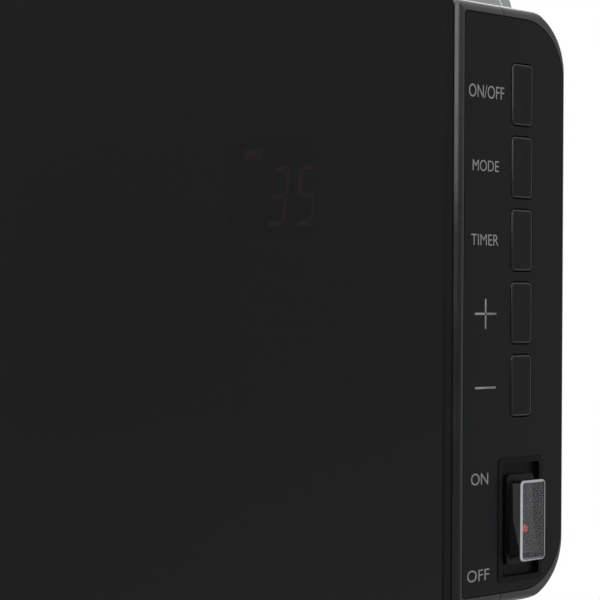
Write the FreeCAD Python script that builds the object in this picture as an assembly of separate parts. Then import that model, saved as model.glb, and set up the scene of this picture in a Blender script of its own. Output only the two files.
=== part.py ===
import FreeCAD, Part
import math
import os

# Oil filled radiator heater: a stack of hollow steel fins on two headers, a black glass
# front plate, and a slim control pod behind the glass at the right-hand end of the stack.
# Millimetres. Front is -Y, right is +X, the floor is z = 0 and the origin is at the
# middle of the footprint.

V = FreeCAD.Vector
AXES = {"x": V(1, 0, 0), "y": V(0, 1, 0), "z": V(0, 0, 1)}

# ---- clearances ----
run_gap = 0.3          # between pieces that move past each other
pin_gap = 0.05         # radial, a pin or stem in its bore
fit_gap = 0.1          # a piece that drops into another
oil_gap = 0.3          # oil volume to the steel round it

# ---- front glass ----
glass_width = 500.0
glass_height = 540.0
glass_thickness = 4.0
glass_bottom = 85.0
glass_front = -95.5
glass_corner = 8.0
glass_bevel = 0.6
glass_gap = 1.0        # air between the glass and the pod, filled by the pads on the rails

# ---- fins ----
fin_count = 9
fin_depth = 163.0
fin_web = 1.3          # two sheets, welded at the seams
fin_corner = 38.0
fin_margin = 9.0       # flat seam round the oil channels
fin_below_glass = 5.0  # how far the fins reach below the glass, and stop short of its top
fin_under_top = 3.0
left_fin_inset = 23.0  # from the glass's left edge to the first fin's middle
bulge_half = 6.5
bulge_round = 4.5
channel_width = 24.0
channel_wall = 0.8
header_outer = 23.0
header_wall = 1.5
header_inset = 48.0    # from the fin's end to the header's axis
channel_end_flat = 0.5 # left between the rounded corners at the middle channel's ends

# ---- control pod ----
pod_width = 116.0
pod_depth = 53.0
pod_centre_drop = 151.15   # from the glass's top edge to the pod's mid-height
pod_wall = 2.4
pod_front_round = 4.5
pod_rear_round = 20.0
pod_side_round = 3.8         # front, top and bottom edges of the panel's side
pod_rear_edge_round = 1.2    # its rear edge
pod_inner_round = 1.5
pod_seam_back = 22.1       # from the pod's front to the joint of its two shells
seam_gap = 0.3
panel_thickness = 2.0
panel_inset = 4.0          # band left between the panel and the pod's outline
panel_rear_inset = 1.5
panel_front_corner = 1.0
ledge_thickness = 2.0
ledge_width = 3.4

# ---- keys, in the side panel ----
key_width = 10.1
key_height = 20.0
key_spacing = 3.6          # between neighbouring keys
key_count = 5
key_corner = 1.8
key_proud = 0.4
key_travel = 0.8
key_back = 31.2            # from the glass's front to the keys' near edge
top_key_margin = 18.6      # from the pod's top to the first key
key_flange = 1.0
key_flange_thickness = 1.5
key_edge_round = 0.5
keypad_post_gap = 3.6      # from the end keys' flanges to the middles of the board's posts
keypad_post = 2.0
keypad_board_half = 9.0
keypad_board_end = 3.5
plunger_entry = 1.6        # how far a plunger stands in its tact switch
tact_corner = 0.6
tact_size = 6.2
tact_height = 4.0
plunger_radius = 1.75
board_thickness = 1.6
keypad_depth = 8.4         # from the panel's rear face to the board

# ---- power switch ----
recess_width = 21.8
recess_height = 40.0
recess_back = 25.4
recess_below_keys = 13.3   # from the last key to the switch's recess
recess_margin = 7.2        # from the recess to the pod's underside
recess_rim = 1.9
recess_rim_ends = 1.7
recess_corner = 1.6
recess_depth = 1.5
recess_floor_corner = 1.0
bezel_proud = 0.3
bezel_rim = 1.2
bezel_depth = 2.0
bezel_edge_round = 0.25
switch_width = 13.0
switch_height = 29.0
switch_flange = 1.5
switch_body_width = 12.0
switch_body_height = 27.0
switch_body_depth = 16.0
switch_corner = 0.6
switch_flange_corner = 1.4
switch_tab = (7.0, 4.8, 0.8)  # length, width and thickness of a terminal tab
switch_tab_pitch = 8.5
rocker_width = 9.6
rocker_length = 22.4
rocker_tilt = 8.0
rocker_pin = 1.0
rocker_pivot_depth = 1.6   # below the switch flange's face
rocker_cavity = 8.0
rocker_rise = 4.2          # from the pivot to the ends of the rocker's face
rocker_dip = 1.4           # how far the face's middle lies below its ends
rocker_heel = 1.8
rocker_keel = 4.4
rocker_end_room = 1.2      # from the rocker's ends to the ends of its cavity
rocker_pin_grip = 0.6      # how far the pivot pins stand in the switch's body
rocker_corners = (0.8, 6.0, 0.8, 0.6, 3.0, 0.6)
cover_width = 11.9
cover_height = 26.0
cover_proud = 5.8
cover_wall = 0.6
cover_corner = 1.6
cover_edge_round = 1.0

# ---- display ----
display_inboard = 77.5     # from the pod's side to the middle of the digits
display_rise = 37.15
display_width = 30.0
display_height = 25.0
display_sink = 0.5         # display face behind the pod's front face
display_depth = 5.0
lamp_inboard = 101.4
lamp_rise = 52.95
lamp_width = 4.2
lamp_height = 3.0
lamp_corner = 0.4
window_margin = 2.0
window_corner = 1.5
display_board_side = 6.0   # from the window to the display board's left edge
display_board_inner = 8.0  # from the window to its right edge
display_board_rise = 9.0   # above and below the window

# ---- inside the pod ----
power_board_width = 74.0
power_board_side = 4.0     # from the pod's wall
power_board_back = 8.0     # length of the posts behind it
board_post_inset = 4.5
board_screw_head = 2.2
board_screw_head_height = 1.4
board_screw_bite = 2.6
relay = (19.0, 15.0, 16.0) # along the board, out from it and upright
relay_pitch = 24.0
relay_inset = 12.0
relay_rise = 12.0
transformer = (28.0, 13.0, 24.0)
capacitor_radius = 6.0
capacitor_length = 14.0
capacitor_inset = 54.0
capacitor_drop = 12.0
sensor_bead = 3.0
sensor_stem = 2.0
sensor_reach = 9.0
sensor_inset = 10.0
sensor_rise = 14.0
tilt_inset = 26.0          # from the power board's edge to the tip-over switch's middle
tilt_rise = 38.0
tilt_half_width = 11.0
tilt_depth = 14.0
tilt_height = 28.0
tilt_wall = 1.5
tilt_pivot_drop = 5.5
tilt_pin = 1.0
tilt_arm = 16.0
tilt_arm_width = 2.4
tilt_arm_depth = 4.0
tilt_bob = 4.2
tilt_hub = 2.2
power_board_height = 124.0
post_radius = 3.0
post_hole = 1.25
post_hole_depth = 3.0
boss_radius = 4.2
boss_side = 9.0            # from the pod's left side to the first bosses
boss_panel_room = 30.0     # from the pod's right side to the others
boss_rise = 72.0
case_screw = 1.6
case_screw_bite = 12.0     # depth of the pilot hole in the front shell
screw_seat_sink = 0.6      # screw heads below the pod's back
screw_head = 3.2
screw_head_height = 2.2
rivet = 2.0
rivet_head = 4.0
rivet_head_height = 1.2
rivet_rise = 70.0
vent_slots = 6
vent_width = 2.4
vent_pitch = 6.0
vent_length = 40.0
vent_margin = 6.0          # from the pod's rounded corner to the first slot
vent_corner = 1.1

# ---- rails, side bracket ----
rail_height = 16.0
rail_wall = 1.5
rail_offset = 32.0         # rail's middle beyond the header's axis
rail_grip = 1.0            # how deep the fin seams sit in the rail's slots
side_plate = 1.5
side_plate_gap = 1.0
side_plate_depth = 40.0
side_tab = 16.0
hook_plate = 2.0
hook_width = 6.0
pad_length = 40.0
pads_per_rail = 5
pad_margin = 2.0           # rail left bare above and below a pad
rail_overhang = 6.0        # rail beyond the first fin's middle
bracket_slot_near = 4.0    # bracket slots, in front of its middle
bracket_slot_far = 12.0
bracket_slot_corner = 3.0

# ---- element and terminal housing ----
element_flange_lip = 9.0   # flange beyond the header's outside
fin_flange_thickness = 5.0
fin_flange_reach = 12.0
gasket_thickness = 1.5
element_flange_thickness = 4.0
flange_bolt_offset = 4.0   # bolts beyond the header's outside
gasket_lip = 1.0           # gasket's hole wider than the header's bore
flange_bolt = 2.5
bolt_head = 4.4
bolt_head_height = 3.6
rod_radius = 4.0
rod_half_gap_y = 6.0
rod_half_gap_z = 7.0
rod_end_gap = 12.0
rod_stub = 3.0             # element rods beyond the flange
bolt_end_gap = 0.5
cold_pin = 1.6
cold_pin_length = 14.0
cutout_rise = 48.0         # thermal cut-out above the lower header's axis
cutout_base = (8.0, 5.0)   # radius and height
cutout_can = (6.5, 6.0)
cutout_tab = (0.8, 11.0, 6.0)  # thickness, length and height
cutout_tab_rise = 2.0      # above the base
cutout_tab_pitch = 12.0
cover_length = 66.0
cover_depth = 104.0
cover_rise = 68.0          # terminal cover above the lower header's axis
cover_drop = 42.0
cover_shell = 2.2
cover_round = 10.0
cover_side_round = 5.0
cover_tab_reach = 12.0
cover_tab_half = 7.0
cover_tab_inset = 22.0
cover_tab_corner = 4.0
louvre_count = 5
louvre_pitch = 12.0
louvre_height = 3.0
louvre_half_length = 24.0
louvre_drop = 14.0         # lowest louvre below the lower header's axis
gland_bore = 4.0
gland_thread = 7.5
gland_rim = 11.0
gland_rim_thickness = 4.0
gland_nut_thickness = 4.0
gland_thread_end = 1.5
gland_collar = 8.0
gland_rim_round = 1.5
gland_inset = 22.0
gland_rise = 26.0
duct_width = 12.0
duct_wall = 1.2
duct_corner = 2.5
duct_back_corner = 0.5
duct_margin = 1.0          # from the side bracket's rear edge

# ---- feet and castors ----
foot_length = 256.0
foot_width = 40.0
foot_top = 70.0
foot_bottom = 54.0
foot_wall = 3.0
foot_end_round = 18.0
foot_top_round = 4.0
saddle_corner = 3.0
castor_boss = 9.0
saddle_side_gap = 4.5
saddle_half_depth = 34.0
saddle_overlap = 10.0
clamp_radius = 3.0
nut_radius = 6.0
nut_height = 5.0
wing_half_length = 13.0
wing_half_thickness = 1.2
wing_height = 5.0
wing_drop = 3.0            # wings below the nut
wing_bite = 1.0            # wings into the nut
clamp_leg_end = 1.0        # leg ends above the foot's lower edge
castor_inset = 17.0
wheel_radius = 20.0
wheel_width = 16.0
wheel_bore = 2.5
wheel_edge_round = 2.5
wheel_groove = (6.5, 14.5) # inner and outer radius of the hollow in each face
wheel_groove_depth = 3.0
castor_trail = 14.0
stem_radius = 4.0
fork_plate = 3.0
fork_disc = 13.0
fork_gap = 1.0
fork_tail = 8.0            # crown behind the stem's axis
fork_half_foot = 6.0       # cheeks round the axle
fork_corner = 3.0
fork_foot_corner = 5.5
stem_end_gap = 3.0
axle_end = 1.0
axle_head = 1.5

# ---- handle ----
grip_height = 22.0
grip_depth = 30.0
grip_clearance = 28.0      # finger room above the fins
grip_overhang = 17.0
grip_round = 7.0
grip_end_round = 5.0
shoulder_rise = 16.0       # handle's shoulders above the header's neck
shoulder_lap = 4.0
neck_inset = 3.0
neck_corner = 4.0
handle_leg_end = 7.0       # clamp legs stop below the shoulder
handle_hole_end = 6.0
handle_neck = 3            # the gap between fins that takes the first post, counted from each end

# ---- places worked out from the sizes above ----
glass_top = glass_bottom + glass_height
glass_back = glass_front + glass_thickness
side_x = (glass_width - cover_proud) / 2
glass_left = side_x - glass_width
pod_left = side_x - pod_width
pod_front = glass_back + glass_gap
pod_back = pod_front + pod_depth
key_pitch = key_height + key_spacing
keys_length = key_count * key_height + (key_count - 1) * key_spacing
pod_height = top_key_margin + keys_length + recess_below_keys + recess_height + recess_margin
pod_mid = glass_top - pod_centre_drop
pod_low = pod_mid - pod_height / 2
pod_high = pod_mid + pod_height / 2
seam_y = pod_front + pod_seam_back

fin_bottom = glass_bottom - fin_below_glass
fin_top = glass_top - fin_under_top
right_fin_x = pod_left - side_plate - side_plate_gap - bulge_half
left_fin_x = glass_left + left_fin_inset
fin_pitch = (right_fin_x - left_fin_x) / (fin_count - 1)
header_bore = header_outer - header_wall
element_flange_radius = header_outer + element_flange_lip
flange_bolt_circle = header_outer + flange_bolt_offset
header_low = fin_bottom + header_inset
header_high = fin_top - header_inset
neck_width = fin_pitch - 2 * bulge_half
saddle_width = neck_width - 2 * saddle_side_gap

panel_back = side_x - panel_thickness
key_y = glass_front + key_back + key_width / 2
switch_y = glass_front + recess_back + recess_width / 2
switch_z = pod_low + recess_margin + recess_height / 2
board_face = panel_back - keypad_depth
rail_low = header_low - rail_offset
rail_high = header_high + rail_offset
rail_front = glass_back + glass_gap
rail_back = -fin_depth / 2 + rail_grip


def neck_x(number):
    """Middle of the gap to the right of fin number 1, 2, 3 and so on."""
    return left_fin_x + (number - 0.5) * fin_pitch


def save(name, *shapes):
    """Write one named piece, or a group of identical ones, to its own STEP file."""
    solids = [solid for shape in shapes for solid in shape.Solids]
    whole = solids[0] if len(solids) == 1 else Part.makeCompound(solids)
    whole.exportStep(os.path.join("parts", name + ".step"))


def box(x0, x1, y0, y1, z0, z1):
    return Part.makeBox(x1 - x0, y1 - y0, z1 - z0, V(x0, y0, z0))


def rod(axis, start, length, radius, outer=None):
    """Cylinder from a start point along an axis, or a tube of that bore."""
    core = Part.makeCylinder(radius, length, V(*start), AXES[axis])
    if outer is None:
        return core
    return Part.makeCylinder(outer, length, V(*start), AXES[axis]).cut(core)


def rounded_face(points, radii):
    """Flat face through the corner points, each corner turned by an arc of its own radius."""
    entries = []
    leaves = []
    middles = []
    for i, corner in enumerate(points):
        to_before = (points[i - 1] - corner).normalize()
        to_after = (points[(i + 1) % len(points)] - corner).normalize()
        half = to_before.getAngle(to_after) / 2
        reach = radii[i] / math.tan(half)
        centre = corner + (to_before + to_after).normalize() * (radii[i] / math.sin(half))
        entries.append(corner + to_before * reach)
        leaves.append(corner + to_after * reach)
        outward = (to_before + to_after).normalize() * -1
        middles.append(centre + outward * radii[i])
    edges = []
    for i in range(len(points)):
        if radii[i] > 0:
            edges.append(Part.Arc(entries[i], middles[i], leaves[i]).toShape())
        following = entries[(i + 1) % len(points)]
        if leaves[i].distanceToPoint(following) > 1e-6:
            edges.append(Part.LineSegment(leaves[i], following).toShape())
    return Part.Face(Part.Wire(edges))


def slab(axis, low, high, a0, a1, b0, b1, radii):
    """Round-cornered plate: low to high along its axis, a and b along the other two axes."""
    places = {"x": lambda a, b: V(low, a, b), "y": lambda a, b: V(a, low, b), "z": lambda a, b: V(a, b, low)}
    corners = [places[axis](a, b) for a, b in ((a0, b0), (a1, b0), (a1, b1), (a0, b1))]
    if not isinstance(radii, (list, tuple)):
        radii = [radii] * 4
    return rounded_face(corners, radii).extrude(AXES[axis] * (high - low))


def end_edges(shape, axis, *places):
    """Edges that lie wholly in a plane at one of the places along an axis."""
    found = []
    for edge in shape.Edges:
        bounds = edge.BoundBox
        low, high = {"x": (bounds.XMin, bounds.XMax), "y": (bounds.YMin, bounds.YMax),
                     "z": (bounds.ZMin, bounds.ZMax)}[axis]
        if any(abs(low - place) < 1e-4 and abs(high - place) < 1e-4 for place in places):
            found.append(edge)
    return found


def soften(shape, radius, axis, *places):
    return shape.makeFillet(radius, end_edges(shape, axis, *places))


# ------------------------------------------------------------------ fins and oil
def oil_channels(inset):
    """The pressed channels of one fin, drawn in by an inset: a loop and a middle channel."""
    half = bulge_half - inset
    round_off = bulge_round - inset / 2
    depth = fin_depth / 2 - fin_margin
    low = fin_bottom + fin_margin
    high = fin_top - fin_margin
    corner = fin_corner - fin_margin
    outer = slab("x", -half, half, -depth + inset, depth - inset, low + inset, high - inset, corner - inset)
    reach = channel_width - inset
    inner = slab("x", -half, half, -depth + reach, depth - reach, low + reach, high - reach, corner - reach)
    loop = soften(outer.cut(inner), round_off, "x", -half, half)
    width = channel_width / 2 - inset
    middle = slab("x", -half, half, -width, width, header_low, header_high, width - channel_end_flat)
    return loop.fuse(soften(middle, round_off, "x", -half, half))


def fin_shape(left_reach, right_reach, left_open, right_open):
    """One fin at x = 0; its header stubs reach left and right, open or closed at the end."""
    web = slab("x", -fin_web / 2, fin_web / 2, -fin_depth / 2, fin_depth / 2,
               fin_bottom, fin_top, fin_corner)
    steel = web.fuse(oil_channels(0))
    hollow = oil_channels(channel_wall)
    for height, left, right, open_left, open_right in (
            (header_low, left_reach[0], right_reach[0], left_open[0], right_open[0]),
            (header_high, left_reach[1], right_reach[1], left_open[1], right_open[1])):
        steel = steel.fuse(rod("x", (-left, 0, height), left + right, header_outer))
        bore_left = left if open_left else left - channel_wall
        bore_right = right if open_right else right - channel_wall
        hollow = hollow.fuse(rod("x", (-bore_left, 0, height), bore_left + bore_right, header_bore))
    return steel, hollow


def make_fins():
    half_pitch = fin_pitch / 2
    reach = (half_pitch, half_pitch)
    shut = (bulge_half, bulge_half)
    mouth = (fin_flange_reach, bulge_half)
    both = (True, True)
    steel, hollow = fin_shape(reach, reach, both, both)
    middle_fin = steel.cut(hollow)
    steel, hollow = fin_shape(shut, reach, (False, False), both)
    left_fin = steel.cut(hollow)
    steel, hollow = fin_shape(reach, mouth, both, (True, False))
    flange = rod("x", (fin_flange_reach - fin_flange_thickness, 0, header_low),
                 fin_flange_thickness, element_flange_radius)
    right_fin = steel.fuse(flange).cut(hollow)
    for y, z in bolt_places():
        right_fin = right_fin.cut(rod("x", (fin_flange_reach - fin_flange_thickness - 1, y, z),
                                      fin_flange_thickness + 2, flange_bolt + fit_gap))
    shapes = [left_fin] + [middle_fin] * (fin_count - 2) + [right_fin]
    for number, shape in enumerate(shapes):
        placed = shape.translated(V(left_fin_x + number * fin_pitch, 0, 0))
        save("fin_%d" % (number + 1), placed.removeSplitter())


def bolt_places():
    """Four bolts round the lower header's mouth."""
    return [(flange_bolt_circle * math.cos(math.radians(45 + 90 * turn)),
             header_low + flange_bolt_circle * math.sin(math.radians(45 + 90 * turn)))
            for turn in range(4)]


def rod_places():
    return [(y, z) for y in (-rod_half_gap_y, rod_half_gap_y) for z in (-rod_half_gap_z, rod_half_gap_z)]


def make_oil():
    """The oil fills each fin and its share of both headers, and leaves the element free."""
    channels = oil_channels(channel_wall + oil_gap)
    rods = [rod("x", (-fin_pitch, y, header_low + z), 2 * fin_pitch, rod_radius + oil_gap)
            for y, z in rod_places()]
    bend_half = rod_half_gap_y + rod_radius + oil_gap
    bend = rod("y", (0, 0, 0), 2 * bend_half, rod_half_gap_z + rod_radius + oil_gap)
    portions = []
    for number in range(fin_count):
        first = number == 0
        last = number == fin_count - 1
        left = bulge_half - channel_wall - oil_gap if first else fin_pitch / 2
        right = bulge_half - channel_wall - oil_gap if last else fin_pitch / 2
        right_low = fin_flange_reach if last else right
        fill = channels.fuse(rod("x", (-left, 0, header_low), left + right_low, header_bore - oil_gap))
        fill = fill.fuse(rod("x", (-left, 0, header_high), left + right, header_bore - oil_gap))
        fill = fill.removeSplitter()
        if not first:
            fill = fill.cut(rods[0].fuse(rods[1:]))
        portions.append(fill.translated(V(left_fin_x + number * fin_pitch, 0, 0)))
    bend_x = element_bend_x()
    end_room = bend.translated(V(bend_x, -bend_half, header_low))
    portions = [portions[0].cut(end_room), portions[1].cut(end_room)] + portions[2:]
    save("thermal_oil", *portions)


# ------------------------------------------------------------------ heating element
def element_bend_x():
    """Middle of the element's return bend, short of the first fin."""
    return left_fin_x + fin_pitch / 2 + rod_end_gap + rod_half_gap_z


def make_element():
    mouth_x = right_fin_x + fin_flange_reach
    gasket = rod("x", (mouth_x, 0, header_low), gasket_thickness, header_bore + gasket_lip,
                 element_flange_radius)
    plate_x = mouth_x + gasket_thickness
    plate = rod("x", (plate_x, 0, header_low), element_flange_thickness, element_flange_radius)
    outer_x = plate_x + element_flange_thickness
    bolts = []
    for y, z in bolt_places():
        hole = rod("x", (mouth_x - 1, y, z), outer_x - mouth_x + 2, flange_bolt + fit_gap)
        gasket = gasket.cut(hole)
        plate = plate.cut(hole)
        shank_x = mouth_x - fin_flange_thickness + bolt_end_gap
        shank = rod("x", (shank_x, y, z), outer_x - shank_x, flange_bolt)
        corners = [V(outer_x, y + bolt_head * math.cos(math.radians(60 * k)),
                     z + bolt_head * math.sin(math.radians(60 * k))) for k in range(6)]
        head = Part.Face(Part.makePolygon(corners + corners[:1])).extrude(V(bolt_head_height, 0, 0))
        bolts.append(shank.fuse(head).removeSplitter())
    rods = []
    bend_x = element_bend_x()
    for y in (-rod_half_gap_y, rod_half_gap_y):
        straight = outer_x + rod_stub - bend_x
        low = rod("x", (bend_x, y, header_low - rod_half_gap_z), straight, rod_radius)
        high = rod("x", (bend_x, y, header_low + rod_half_gap_z), straight, rod_radius)
        ring = Part.makeTorus(rod_half_gap_z, rod_radius, V(bend_x, y, header_low), AXES["y"])
        reach = rod_half_gap_z + rod_radius + 1
        bend = ring.common(box(bend_x - reach, bend_x, y - reach, y + reach,
                               header_low - reach, header_low + reach))
        hairpin = low.fuse([high, bend])
        for z in (-rod_half_gap_z, rod_half_gap_z):
            plate = plate.cut(rod("x", (plate_x - 1, y, header_low + z), element_flange_thickness + 2,
                                  rod_radius + pin_gap))
            pin_start = (outer_x + rod_stub, y, header_low + z)
            hairpin = hairpin.fuse(rod("x", pin_start, cold_pin_length, cold_pin))
        rods.append(hairpin.removeSplitter())
    save("element_gasket", gasket)
    save("element_flange", plate)
    save("flange_bolts", *bolts)
    save("heating_element", *rods)


def make_cutout():
    """Bimetal cut-out: a round can on the end fin's middle channel, with two tabs."""
    face = right_fin_x + bulge_half
    height = header_low + cutout_rise
    base_radius, base_height = cutout_base
    can_radius, can_height = cutout_can
    can = rod("x", (face, 0, height), base_height, base_radius)
    can = can.fuse(rod("x", (face + base_height, 0, height), can_height, can_radius))
    thickness, length, width = cutout_tab
    tab_x = face + base_height + cutout_tab_rise
    for y in (-cutout_tab_pitch / 2, cutout_tab_pitch / 2):
        can = can.fuse(box(tab_x, tab_x + thickness, y - length / 2, y + length / 2,
                           height - width / 2, height + width / 2))
    save("thermal_cutout", can.removeSplitter())


# ------------------------------------------------------------------ terminal housing
def terminal_bounds():
    return (pod_left, pod_left + cover_length, -cover_depth / 2, cover_depth / 2,
            header_low - cover_drop, header_low + cover_rise)


def duct_place():
    """Front and back of the wire duct, on the side bracket."""
    back = -fin_depth / 2 + side_plate_depth - duct_margin
    return back - duct_width, back


def make_terminal_cover():
    x0, x1, y0, y1, z0, z1 = terminal_bounds()
    outer = slab("x", x0, x1, y0, y1, z0, z1, cover_round)
    outer = soften(outer, cover_side_round, "x", x1)
    wall = cover_shell
    inner = slab("x", x0 - 1, x1 - wall, y0 + wall, y1 - wall, z0 + wall, z1 - wall, cover_round - wall)
    shell = outer.cut(inner)
    for z in tab_heights():
        shell = shell.fuse(slab("x", x0, x0 + wall, y0 - cover_tab_reach, y0 + wall, z - cover_tab_half,
                                z + cover_tab_half, [cover_tab_corner, 0, 0, cover_tab_corner]))
        shell = shell.cut(rod("x", (x0 - 1, y0 - cover_tab_reach / 2, z), wall + 2, case_screw + fit_gap))
    gland_x, gland_z = gland_place()
    shell = shell.cut(rod("y", (gland_x, y1 - wall - 1, gland_z), wall + 2, gland_thread + fit_gap))
    duct_y0, duct_y1 = duct_place()
    shell = shell.cut(box(x0 + duct_wall, x0 + duct_width - duct_wall, duct_y0 + duct_wall,
                          duct_y1 - duct_wall, z1 - wall - 1, z1 + 1))
    for number in range(louvre_count):
        z = header_low - louvre_drop + number * louvre_pitch
        shell = shell.cut(slab("x", x1 - wall - 1, x1 + 1, -louvre_half_length, louvre_half_length,
                               z, z + louvre_height, louvre_height / 2 - fit_gap))
    save("terminal_cover", shell.removeSplitter())


def tab_heights():
    z0, z1 = terminal_bounds()[4:]
    return z0 + cover_tab_inset, z1 - cover_tab_inset


def gland_place():
    x0, x1, y0, y1, z0, z1 = terminal_bounds()
    return x1 - gland_inset, z0 + gland_rise


def make_gland():
    """Cable entry in the terminal cover's rear wall: a threaded sleeve, its rim and its nut."""
    x, z = gland_place()
    wall_y = cover_depth / 2
    inner_y = wall_y - cover_shell
    sleeve_length = cover_shell + gland_nut_thickness + gland_thread_end
    sleeve = rod("y", (x, wall_y - sleeve_length, z), sleeve_length, gland_thread)
    rim = rod("y", (x, wall_y, z), gland_rim_thickness, gland_rim)
    rim = soften(rim, gland_rim_round, "y", wall_y + gland_rim_thickness)
    collar = rod("y", (x, wall_y, z), gland_rim_thickness + gland_collar, gland_thread)
    through = sleeve_length + gland_rim_thickness + gland_collar
    bore = rod("y", (x, wall_y - sleeve_length - 1, z), through + 2, gland_bore)
    corners = [V(x + gland_rim * math.cos(math.radians(60 * k)), inner_y - gland_nut_thickness,
                 z + gland_rim * math.sin(math.radians(60 * k))) for k in range(6)]
    nut = Part.Face(Part.makePolygon(corners + corners[:1])).extrude(V(0, gland_nut_thickness, 0))
    nut = nut.cut(rod("y", (x, inner_y - gland_nut_thickness - 1, z), gland_nut_thickness + 2,
                      gland_thread + pin_gap))
    save("cord_gland", sleeve.fuse([rim, collar]).cut(bore).removeSplitter(), nut)


def make_duct():
    """Closed plastic channel for the wires, from the terminal cover up to the pod."""
    y0, y1 = duct_place()
    z0 = terminal_bounds()[5]
    outer = slab("z", z0, pod_low, pod_left, pod_left + duct_width, y0, y1,
                 [duct_back_corner, duct_corner, duct_corner, duct_back_corner])
    inner = box(pod_left + duct_wall, pod_left + duct_width - duct_wall, y0 + duct_wall, y1 - duct_wall,
                z0 - 1, pod_low + 1)
    save("wire_duct", outer.cut(inner))


# ------------------------------------------------------------------ glass, rails, side bracket
def make_glass():
    plate = slab("y", glass_front, glass_back, glass_left, side_x, glass_bottom, glass_top, glass_corner)
    edges = end_edges(plate, "y", glass_front, glass_back)
    save("front_glass", plate.makeChamfer(glass_bevel, edges))


def rail_ends():
    return left_fin_x - rail_overhang, pod_left + side_tab


def make_rails():
    """Two channels across the front of the fins, slotted for the seam of each fin."""
    x0, x1 = rail_ends()
    pads = []
    for name, middle in (("upper_rail", rail_high), ("lower_rail", rail_low)):
        z0 = middle - rail_height / 2
        z1 = middle + rail_height / 2
        channel = box(x0, x1, rail_front, rail_back, z0, z1)
        hollow = box(x0 - 1, x1 + 1, rail_front + rail_wall, rail_back + 1, z0 + rail_wall, z1 - rail_wall)
        channel = channel.cut(hollow)
        for number in range(fin_count):
            x = left_fin_x + number * fin_pitch
            half = fin_web / 2 + run_gap
            channel = channel.cut(box(x - half, x + half, -fin_depth / 2 - run_gap, rail_back + 1,
                                      z0 - 1, z1 + 1))
        save(name, channel)
        step = (x1 - x0 - pad_length) / (pads_per_rail - 1)
        for number in range(pads_per_rail):
            start = x0 + number * step
            pads.append(slab("y", glass_back, rail_front, start, start + pad_length,
                             z0 + pad_margin, z1 - pad_margin, pad_margin))
    save("glass_pads", *pads)


def make_hooks():
    """Steel hooks that hold each rail to the header necks behind it."""
    inner = header_outer + run_gap
    outer = inner + hook_width
    hooks = []
    for number in (2, fin_count - 2):
        x = neck_x(number) - hook_plate / 2
        for middle, side in ((header_high, 1), (header_low, -1)):
            rail_near = middle + side * (rail_offset - rail_height / 2 + rail_wall)
            rail_far = middle + side * (rail_offset + rail_height / 2 - rail_wall)
            arm = box(x, x + hook_plate, rail_front + rail_wall, 0,
                      min(rail_near, rail_far), max(rail_near, rail_far))
            web = box(x, x + hook_plate, -outer, 0, min(middle, rail_far), max(middle, rail_far))
            hook = rod("x", (x, 0, middle), hook_plate, outer).fuse([arm, web])
            throat = box(x - 1, x + hook_plate + 1, -inner, inner, min(middle, middle - side * outer * 2),
                         max(middle, middle - side * outer * 2))
            hook = hook.cut([rod("x", (x - 1, 0, middle), hook_plate + 2, inner), throat])
            hooks.append(hook.removeSplitter())
    save("rail_hooks", *hooks)


def make_side_bracket():
    """Upright steel plate between the end fin and the pod, tabbed to both rails."""
    front = -fin_depth / 2 + rail_grip
    low = rail_low - rail_height / 2
    high = rail_high + rail_height / 2
    left = pod_left - side_plate
    plate = box(left, pod_left, front, front + side_plate_depth, low, high)
    for z in (low, high - rail_height):
        plate = plate.fuse(box(left, pod_left + side_tab, front, front + side_plate, z, z + rail_height))
    for y, z in rivet_places():
        plate = plate.cut(rod("x", (left - 1, y, z), side_plate + 2, rivet + fit_gap))
    for z in tab_heights():
        plate = plate.cut(rod("x", (left - 1, -(cover_depth + cover_tab_reach) / 2, z), side_plate + 2,
                              case_screw + fit_gap))
    slot_y = front + side_plate_depth / 2
    span = (pod_low - terminal_bounds()[5]) / 3
    for number in range(2):
        z = terminal_bounds()[5] + span * (number + 0.6)
        plate = plate.cut(slab("x", left - 1, pod_left + 1, slot_y - bracket_slot_far,
                               slot_y - bracket_slot_near, z, z + 0.6 * span, bracket_slot_corner))
    save("side_bracket", plate.removeSplitter())


def rivet_places():
    y = -fin_depth / 2 + rail_grip + side_plate_depth / 2
    return [(y, pod_mid - rivet_rise), (y, pod_mid + rivet_rise)]


# ------------------------------------------------------------------ control pod
def panel_outline(gap, low_x, high_x):
    """The side panel's outline, let out by a gap, as a plate between two places along X."""
    y0 = pod_front + panel_inset - gap
    y1 = pod_back - panel_rear_inset + gap
    z0 = pod_low + panel_inset - gap
    z1 = pod_high - panel_inset + gap
    rear = pod_rear_round - panel_rear_inset + gap
    front = max(panel_front_corner + gap, 0.5)
    return slab("x", low_x, high_x, y0, y1, z0, z1, [front, rear, rear, front])


def boss_places():
    return [(x, pod_mid + side * boss_rise) for x in (pod_left + boss_side, side_x - boss_panel_room)
            for side in (-1, 1)]


def display_window():
    left = side_x - lamp_inboard - lamp_width / 2 - window_margin
    right = side_x - display_inboard + display_width / 2 + window_margin
    low = pod_mid + display_rise - display_height / 2 - window_margin
    high = pod_mid + lamp_rise + lamp_height / 2 + window_margin
    return left, right, low, high


def display_board_place():
    left, right, low, high = display_window()
    face = pod_front + display_sink + display_depth
    return (left - display_board_side, right + display_board_inner,
            low - display_board_rise, high + display_board_rise, face)


def power_board_place():
    left = pod_left + pod_wall + power_board_side
    back = pod_back - pod_wall - power_board_back
    half = power_board_height / 2
    return left, left + power_board_width, back, pod_mid - half, pod_mid + half


def board_posts(left, right, low, high):
    inset = board_post_inset
    return [(x, z) for x in (left + inset, right - inset) for z in (low + inset, high - inset)]


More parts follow.
